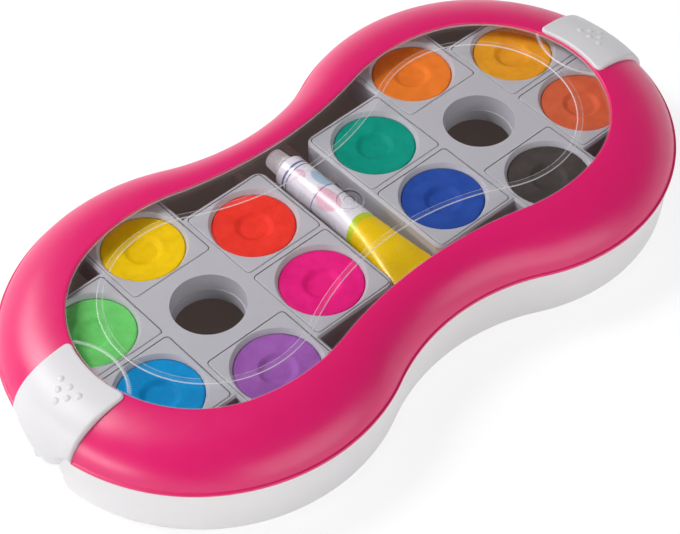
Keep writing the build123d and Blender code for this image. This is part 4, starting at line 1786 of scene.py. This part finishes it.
@dataclass
class Tablet:
    """A round pressed tablet of paint: rounded rim, shallow dish and a dimple in its middle."""

    place: PanPlace
    radius: float = 15.0
    low_z: float = 25.6
    rim_z: float = 31.45
    rim_round: float = 0.7
    crest_z: float = 31.3
    crest_radius: float = 11.0
    dimple_radius: float = 7.4
    dimple_slope: float = 2.9
    dimple_depth: float = 1.35
    shoulder_drop: float = 0.12
    floor_drop: float = 0.06

    def build(self) -> Object:
        """Turn the tablet's profile about its middle.

        From the rounded rim the top goes to a low crest and down to the dimple in half
        cosine waves: at a share s between two points, z = z0 + (z1 - z0)(1 - cos(pi s)) / 2.
        The dimple's floor is nearly flat.

        Returns:
            The finished tablet.
        """
        inner = self.radius - self.rim_round
        rim = [
            (self.radius - inset, self.rim_z - drop)
            for inset, drop in rounding(self.rim_round, 6)
        ]
        low_r = self.dimple_radius - self.dimple_slope

        def wave(
            r0: float, z0: float, r1: float, z1: float, steps: int
        ) -> list[tuple[float, float]]:
            """Half a cosine wave from one point of the profile to another."""
            return [
                (r0 + (r1 - r0) * s, z0 + (z1 - z0) * (1 - math.cos(math.pi * s)) / 2)
                for s in np.linspace(0, 1, steps + 1)[1:]
            ]

        shoulder_z, low_z = self.crest_z - self.shoulder_drop, self.crest_z - self.dimple_depth
        floor_z = low_z - self.floor_drop
        profile = [(0.0, self.low_z), (self.radius, self.low_z), *rim]
        profile += wave(inner, self.rim_z, self.crest_radius, self.crest_z, 8)
        profile += wave(self.crest_radius, self.crest_z, self.dimple_radius, shoulder_z, 4)
        profile += wave(self.dimple_radius, shoulder_z, low_r, low_z, 10)
        profile += [(low_r / 2, floor_z), (0.0, floor_z)]
        name = self.place.name
        shift = Matrix.Translation((*self.place.centre, 0.0))
        tablet = Shell().lathe(np.array(profile), np.array(shift), 96).mesh(f"tablet_{name}", 50.0)
        finish = PressedPaint(f"pressed_{name}", self.place.colour).material()
        return publish(tablet, f"{name}_pan", f"paint_{name}", f"paint_{name}", finish)


@dataclass
class SoftenedCopy:
    """A moulding whose own solid has the right shape and only lacks rounded edges."""

    node: str
    body: str
    slot: str
    piece_name: str
    edge_round: float = 0.25

    def build(self, finish: Material) -> Object:
        """Copy the node's mesh, join its flat faces and round its edges.

        Args:
            finish: Material that it wears.

        Returns:
            The finished piece.
        """
        source = next(o for o in bpy.data.objects if o.name == self.node and o.type == "MESH")
        mesh = source.data.copy()
        mesh.name = self.piece_name
        tidy(mesh, 5e-6, 1.0)
        soften(mesh, 32.0)
        piece = publish(mesh, self.body, self.node, self.slot, finish)
        finishing_bevel(piece, self.edge_round, 32.0)
        return piece


@dataclass
class PaintTube:
    """The tube of white paint: round at its shoulder, pressed flat and folded at its other end."""

    axis_z: float = 27.6
    radius: float = 6.5
    shoulder_y: float = 32.5
    round_y: float = 4.0
    fold_y: float = -38.0
    fold_length: float = 4.5
    fold_half_width: float = 10.2
    fold_thickness: float = 1.4
    curve: float = 1.4
    neck_radius: float = 3.0
    neck_length: float = 5.4
    shoulder_length: float = 1.6
    shoulder_end: float = 4.4
    shoulder_round: float = 0.6
    shoulder_squash: float = 0.6
    step: float = 0.01
    boxiness: float = 0.6
    fold_power: float = 0.35
    crimp: float = 0.04
    crimp_pitch: float = 1.3

    def sections(self) -> np.ndarray:
        """Cross-sections along the tube.

        The share flattened is ((round - y) / (round - fold)) ^ curve. Half width and
        half height mix between the radius and the fold's sizes by that share, and the
        section is the superellipse |x/a|^n + |z/b|^n = 1 with n = 2 + boxiness * share.
        A short rounded shoulder and the neck follow as plain circles.

        Returns:
            Array of shape (rows, columns, 3).
        """
        angles = np.linspace(0, 2 * math.pi, 72, endpoint=False)
        bend_y = self.shoulder_y - self.shoulder_round
        flat = np.linspace(self.fold_y, self.round_y, 30)
        y = np.concatenate([flat, np.linspace(self.round_y, bend_y, 12)[1:]])
        share = np.clip((self.round_y - y) / (self.round_y - self.fold_y), 0, 1) ** self.curve
        a = self.radius + (self.fold_half_width - self.radius) * share
        b = self.radius + (self.fold_thickness / 2 - self.radius) * share
        power = 2.0 / (2.0 + self.boxiness * share)
        tail_y, tail_r = [], []
        for dip, drop in rounding(self.shoulder_round, 4)[1:]:
            tail_y.append(self.shoulder_y - drop)
            tail_r.append(self.radius - dip * self.shoulder_squash)
        neck_y = self.shoulder_y + self.shoulder_length
        tail_y += [neck_y, neck_y + self.step, neck_y + self.neck_length]
        tail_r += [self.shoulder_end, self.neck_radius, self.neck_radius]
        y = np.concatenate([y, tail_y])
        a, b = np.concatenate([a, tail_r]), np.concatenate([b, tail_r])
        power = np.concatenate([power, np.ones(len(tail_r))])
        c, s = np.cos(angles), np.sin(angles)
        x = a[:, None] * np.sign(c) * np.abs(c) ** power[:, None]
        z = self.axis_z + b[:, None] * np.sign(s) * np.abs(s) ** power[:, None]
        return np.stack([x, np.repeat(y[:, None], len(angles), 1), z], -1)

    def fold(self, shell: Shell) -> None:
        """Add the folded end: a flat bar with rounded edges and a light crimp along it.

        Its section is a superellipse drawn across X. The crimp thins it by the share
        crimp * (1 - cos(2 pi x / pitch)), and its two ends are drawn in.

        Args:
            shell: The shell that gets the fold.
        """
        across = np.linspace(-self.fold_half_width, self.fold_half_width, 60)
        angles = np.linspace(0, 2 * math.pi, 40, endpoint=False)
        half_y = self.fold_length / 2
        low, high = self.axis_z - self.fold_thickness, self.axis_z + self.fold_thickness / 2
        middle_z, half_z = (low + high) / 2, (high - low) / 2
        c, s = np.cos(angles), np.sin(angles)
        y = self.fold_y - half_y + half_y * np.sign(c) * np.abs(c) ** self.fold_power
        z = half_z * np.sign(s) * np.abs(s) ** self.fold_power
        ends = np.clip((self.fold_half_width - np.abs(across)) / 0.5, 0.15, 1.0) ** 0.5
        ripple = 1 - self.crimp * (1 - np.cos(across * 2 * math.pi / self.crimp_pitch))
        grid = np.stack([
            np.repeat(across[:, None], len(angles), 1),
            np.repeat(y[None, :], len(across), 0),
            middle_z + z[None, :] * (ends * ripple)[:, None],
        ], -1)
        shell.grid(grid).fan(grid[0], grid[0].mean(0)).fan(grid[-1], grid[-1].mean(0))

    def build(self) -> Object:
        """Close both ends of the sections and add the fold.

        Returns:
            The finished tube.
        """
        grid = self.sections()
        shell = Shell().grid(grid)
        shell.fan(grid[0], (0, self.fold_y, self.axis_z))
        shell.fan(grid[-1], (0, grid[-1][0, 1], self.axis_z))
        self.fold(shell)
        tube, finish = shell.mesh("lacquered_tube", 40.0), TubeLacquer("tube_lacquer").material()
        return publish(tube, "paint_tube", "tube_body", "tube_metal", finish)


@dataclass
class TubeCap:
    """The screw cap: a slightly tapering cup with flutes up its side."""

    axis_z: float = 27.6
    low_y: float = 34.4
    length: float = 6.8
    radius: float = 4.3
    end_radius: float = 3.85
    flutes: int = 22
    flute_depth: float = 0.16
    flute_length: float = 5.4
    foot_chamfer: float = 0.15
    end_round: float = 0.6
    bore: float = 3.06
    bore_depth: float = 5.9

    def build(self) -> Object:
        """Rows round the cap's axis: bore, foot, fluted side, plain collar, rounded end.

        A row is a radius, a distance along the axis and a share of the flutes. The
        side's radius falls evenly from the foot to the end. At an angle a it dips by
        depth * share * cos(flutes * a / 2)^4.

        Returns:
            The finished cap.
        """
        angles = np.linspace(0, 2 * math.pi, self.flutes * 12, endpoint=False)
        dip = np.cos(angles * self.flutes / 2) ** 4
        slope = (self.radius - self.end_radius) / self.length
        end = self.length - self.end_round
        full = np.linspace(self.foot_chamfer, self.flute_length - 0.5, 6)
        side = [(along, 1.0) for along in full]
        side += [(self.flute_length - 0.2, 0.6), (self.flute_length, 0.0), (end, 0.0)]
        rows = [(self.bore, self.bore_depth, 0.0), (self.bore, 0.0, 0.0)]
        rows.append((self.radius - self.foot_chamfer, 0.0, 1.0))
        rows += [(self.radius - slope * along, along, share) for along, share in side]
        for inset, drop in rounding(self.end_round, 4)[1:]:
            rows.append((self.end_radius - inset, self.length - drop, 0.0))
        loops = []
        for radius, along, share in rows:
            plan = circle(1.0, angles) * (radius - self.flute_depth * share * dip)[:, None]
            y = np.full(len(angles), self.low_y + along)
            loops.append(np.stack([plan[:, 0], y, self.axis_z + plan[:, 1]], -1))
        grid = np.stack(loops)
        shell = Shell().grid(grid)
        shell.fan(grid[0], (0, self.low_y + self.bore_depth, self.axis_z))
        shell.fan(grid[-1], (0, self.low_y + self.length, self.axis_z))
        cap = shell.mesh("fluted_cap", 50.0)
        return publish(cap, "cap", "tube_cap", "cap_plastic", CAP_WHITE.material())


# --------------------------------------------------------------------------- studio


@dataclass(frozen=True)
class Lamp:
    """A soft rectangular lamp: place, size and aim in metres, power in watts."""

    name: str
    place: tuple[float, float, float]
    size: tuple[float, float]
    power: float
    aim: tuple[float, float, float] = (0.0, 0.0, 0.02)

    def build(self) -> None:
        """Hang the lamp in its place and turn it towards its aim."""
        data = bpy.data.lights.new(self.name, "AREA")
        data.shape = "RECTANGLE"
        data.size, data.size_y = self.size
        data.energy = self.power
        lamp = bpy.data.objects.new(self.name, data)
        lamp.location = self.place
        way = Vector(self.aim) - Vector(self.place)
        lamp.rotation_euler = way.to_track_quat("-Z", "Y").to_euler()
        bpy.context.scene.collection.objects.link(lamp)


@dataclass
class Studio:
    """Plain pale ground, soft lamps and the camera at the photograph's view.

    The camera's and the ground's lengths are in millimetres and angles in degrees.
    """

    target: tuple[float, float, float] = (-20.6, -17.9, 33.1)
    azimuth: float = -42.0
    elevation: float = 49.3
    roll: float = -0.4
    distance: float = 708.0
    lens: float = 108.58
    sensor: float = 36.0
    sky_z: float = 0.5
    sky_strength: float = 0.15
    horizon_strength: float = 1.25
    ground_half: float = 3000.0
    ground_flat: float = 2200.0
    ground_bend: float = 4000.0
    ground_z: float = -0.1
    ground_points: int = 41
    lamps: tuple[Lamp, ...] = (
        Lamp("key_lamp", (-0.45, 0.7, 1.05), (0.5, 0.5), 10.0),
        Lamp("side_lamp", (-1.2, 0.1, 0.42), (0.8, 0.26), 3.9),
        Lamp("back_lamp", (-0.34, 1.15, 0.75), (0.6, 0.3), 2.8),
        Lamp("front_lamp", (0.1, -1.5, 0.75), (1.6, 1.0), 8.0),
    )

    def camera(self) -> None:
        """Place the camera: target + distance * (sin a cos e, -cos a cos e, sin e)."""
        a, e, r = (math.radians(v) for v in (self.azimuth, self.elevation, self.roll))
        back = Vector((math.sin(a) * math.cos(e), -math.cos(a) * math.cos(e), math.sin(e)))
        right = (-back).cross(Vector((0, 0, 1))).normalized()
        up = right.cross(-back)
        turned_right = math.cos(r) * right + math.sin(r) * up
        turned_up = -math.sin(r) * right + math.cos(r) * up
        data = bpy.data.cameras.new("view")
        data.lens = self.lens
        data.sensor_width = self.sensor
        data.sensor_fit = "HORIZONTAL"
        data.clip_start, data.clip_end = 0.01, 20.0
        view = bpy.data.objects.new("view", data)
        bpy.context.scene.collection.objects.link(view)
        turn = Matrix((turned_right, turned_up, back)).transposed().to_4x4()
        place = (Vector(self.target) + back * self.distance) * MM
        view.matrix_world = Matrix.Translation(place) @ turn
        bpy.context.scene.camera = view

    def ground(self) -> None:
        """A square grid just under the box: flat near it, then rising by (r - flat)^2 / bend."""
        count = self.ground_points
        across = np.linspace(-self.ground_half, self.ground_half, count)
        x, y = np.meshgrid(across, across, indexing="ij")
        rise = np.clip(np.hypot(x, y) - self.ground_flat, 0, None) ** 2 / self.ground_bend
        grid = np.stack([x, y, self.ground_z + rise], -1)
        mesh = bpy.data.meshes.new("ground")
        index = np.arange(count * count).reshape(count, count)
        cells = np.stack([index[:-1, :-1], index[1:, :-1], index[1:, 1:], index[:-1, 1:]], -1)
        points, faces = grid.reshape(-1, 3) * MM, cells.reshape(-1, 4)
        mesh.from_pydata(points.tolist(), [], faces.tolist())
        soften(mesh, 60.0)
        mesh.materials.append(Floor().material())
        floor = bpy.data.objects.new("ground", mesh)
        bpy.context.scene.collection.objects.link(floor)

    def world(self) -> None:
        """White light from all round, strongest at the horizon.

        Its strength goes, eased at both ends, from the horizon's where the direction's
        Z is nought to the sky's where Z is sky_z or more. The camera itself sees plain
        white past the ground.
        """
        world = bpy.data.worlds.new("studio_world")
        bpy.context.scene.world = world
        world.use_nodes = True
        tree = world.node_tree
        tree.nodes.clear()
        path = tree.nodes.new("ShaderNodeLightPath")
        soft, seen = tree.nodes.new("ShaderNodeBackground"), tree.nodes.new("ShaderNodeBackground")
        way, parts = tree.nodes.new("ShaderNodeTexCoord"), tree.nodes.new("ShaderNodeSeparateXYZ")
        span = tree.nodes.new("ShaderNodeMapRange")
        span.interpolation_type = "SMOOTHSTEP"
        limits = (self.sky_z, 0.0, self.sky_strength, self.horizon_strength)
        for socket, value in zip(("From Min", "From Max", "To Min", "To Max"), limits):
            span.inputs[socket].default_value = value
        tree.links.new(way.outputs["Generated"], parts.inputs[0])
        tree.links.new(parts.outputs["Z"], span.inputs["Value"])
        tree.links.new(span.outputs["Result"], soft.inputs["Strength"])
        for background in (soft, seen):
            background.inputs["Color"].default_value = (1.0, 1.0, 1.0, 1.0)
        seen.inputs["Strength"].default_value = 1.0
        mix, out = tree.nodes.new("ShaderNodeMixShader"), tree.nodes.new("ShaderNodeOutputWorld")
        tree.links.new(path.outputs["Is Camera Ray"], mix.inputs[0])
        tree.links.new(soft.outputs[0], mix.inputs[1])
        tree.links.new(seen.outputs[0], mix.inputs[2])
        tree.links.new(mix.outputs[0], out.inputs["Surface"])

    def build(self) -> None:
        """Set up camera, ground, lamps and world."""
        self.camera()
        self.ground()
        self.world()
        for lamp in self.lamps:
            lamp.build()
        bpy.context.scene.view_settings.view_transform = "Standard"


def main() -> None:
    """Build every piece in order."""
    logging.basicConfig(level=logging.INFO, format="%(message)s")
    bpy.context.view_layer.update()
    Studio().build()
    grey, dark = SILVER_GREY.material(), DARK.material()
    LidRing().build()
    ClearLid().build()
    Tub().build()
    SoftenedCopy("storage_liner", "base", "dark_plastic", "dark_liner", 0.3).build(dark)
    for side in Side:
        Latch(side).build()
        HingePin(side).build()
        name = side.label
        tray = SoftenedCopy(
            f"tray_{name}", f"{name}_tray", "grey_plastic", f"grey_tray_{name}", 0.22
        )
        tray.build(grey)
    for place in PanPlace:
        Pan(place).build(grey)
        Tablet(place).build()
    PaintTube().build()
    TubeCap().build()


if __name__ == "__main__":
    main()
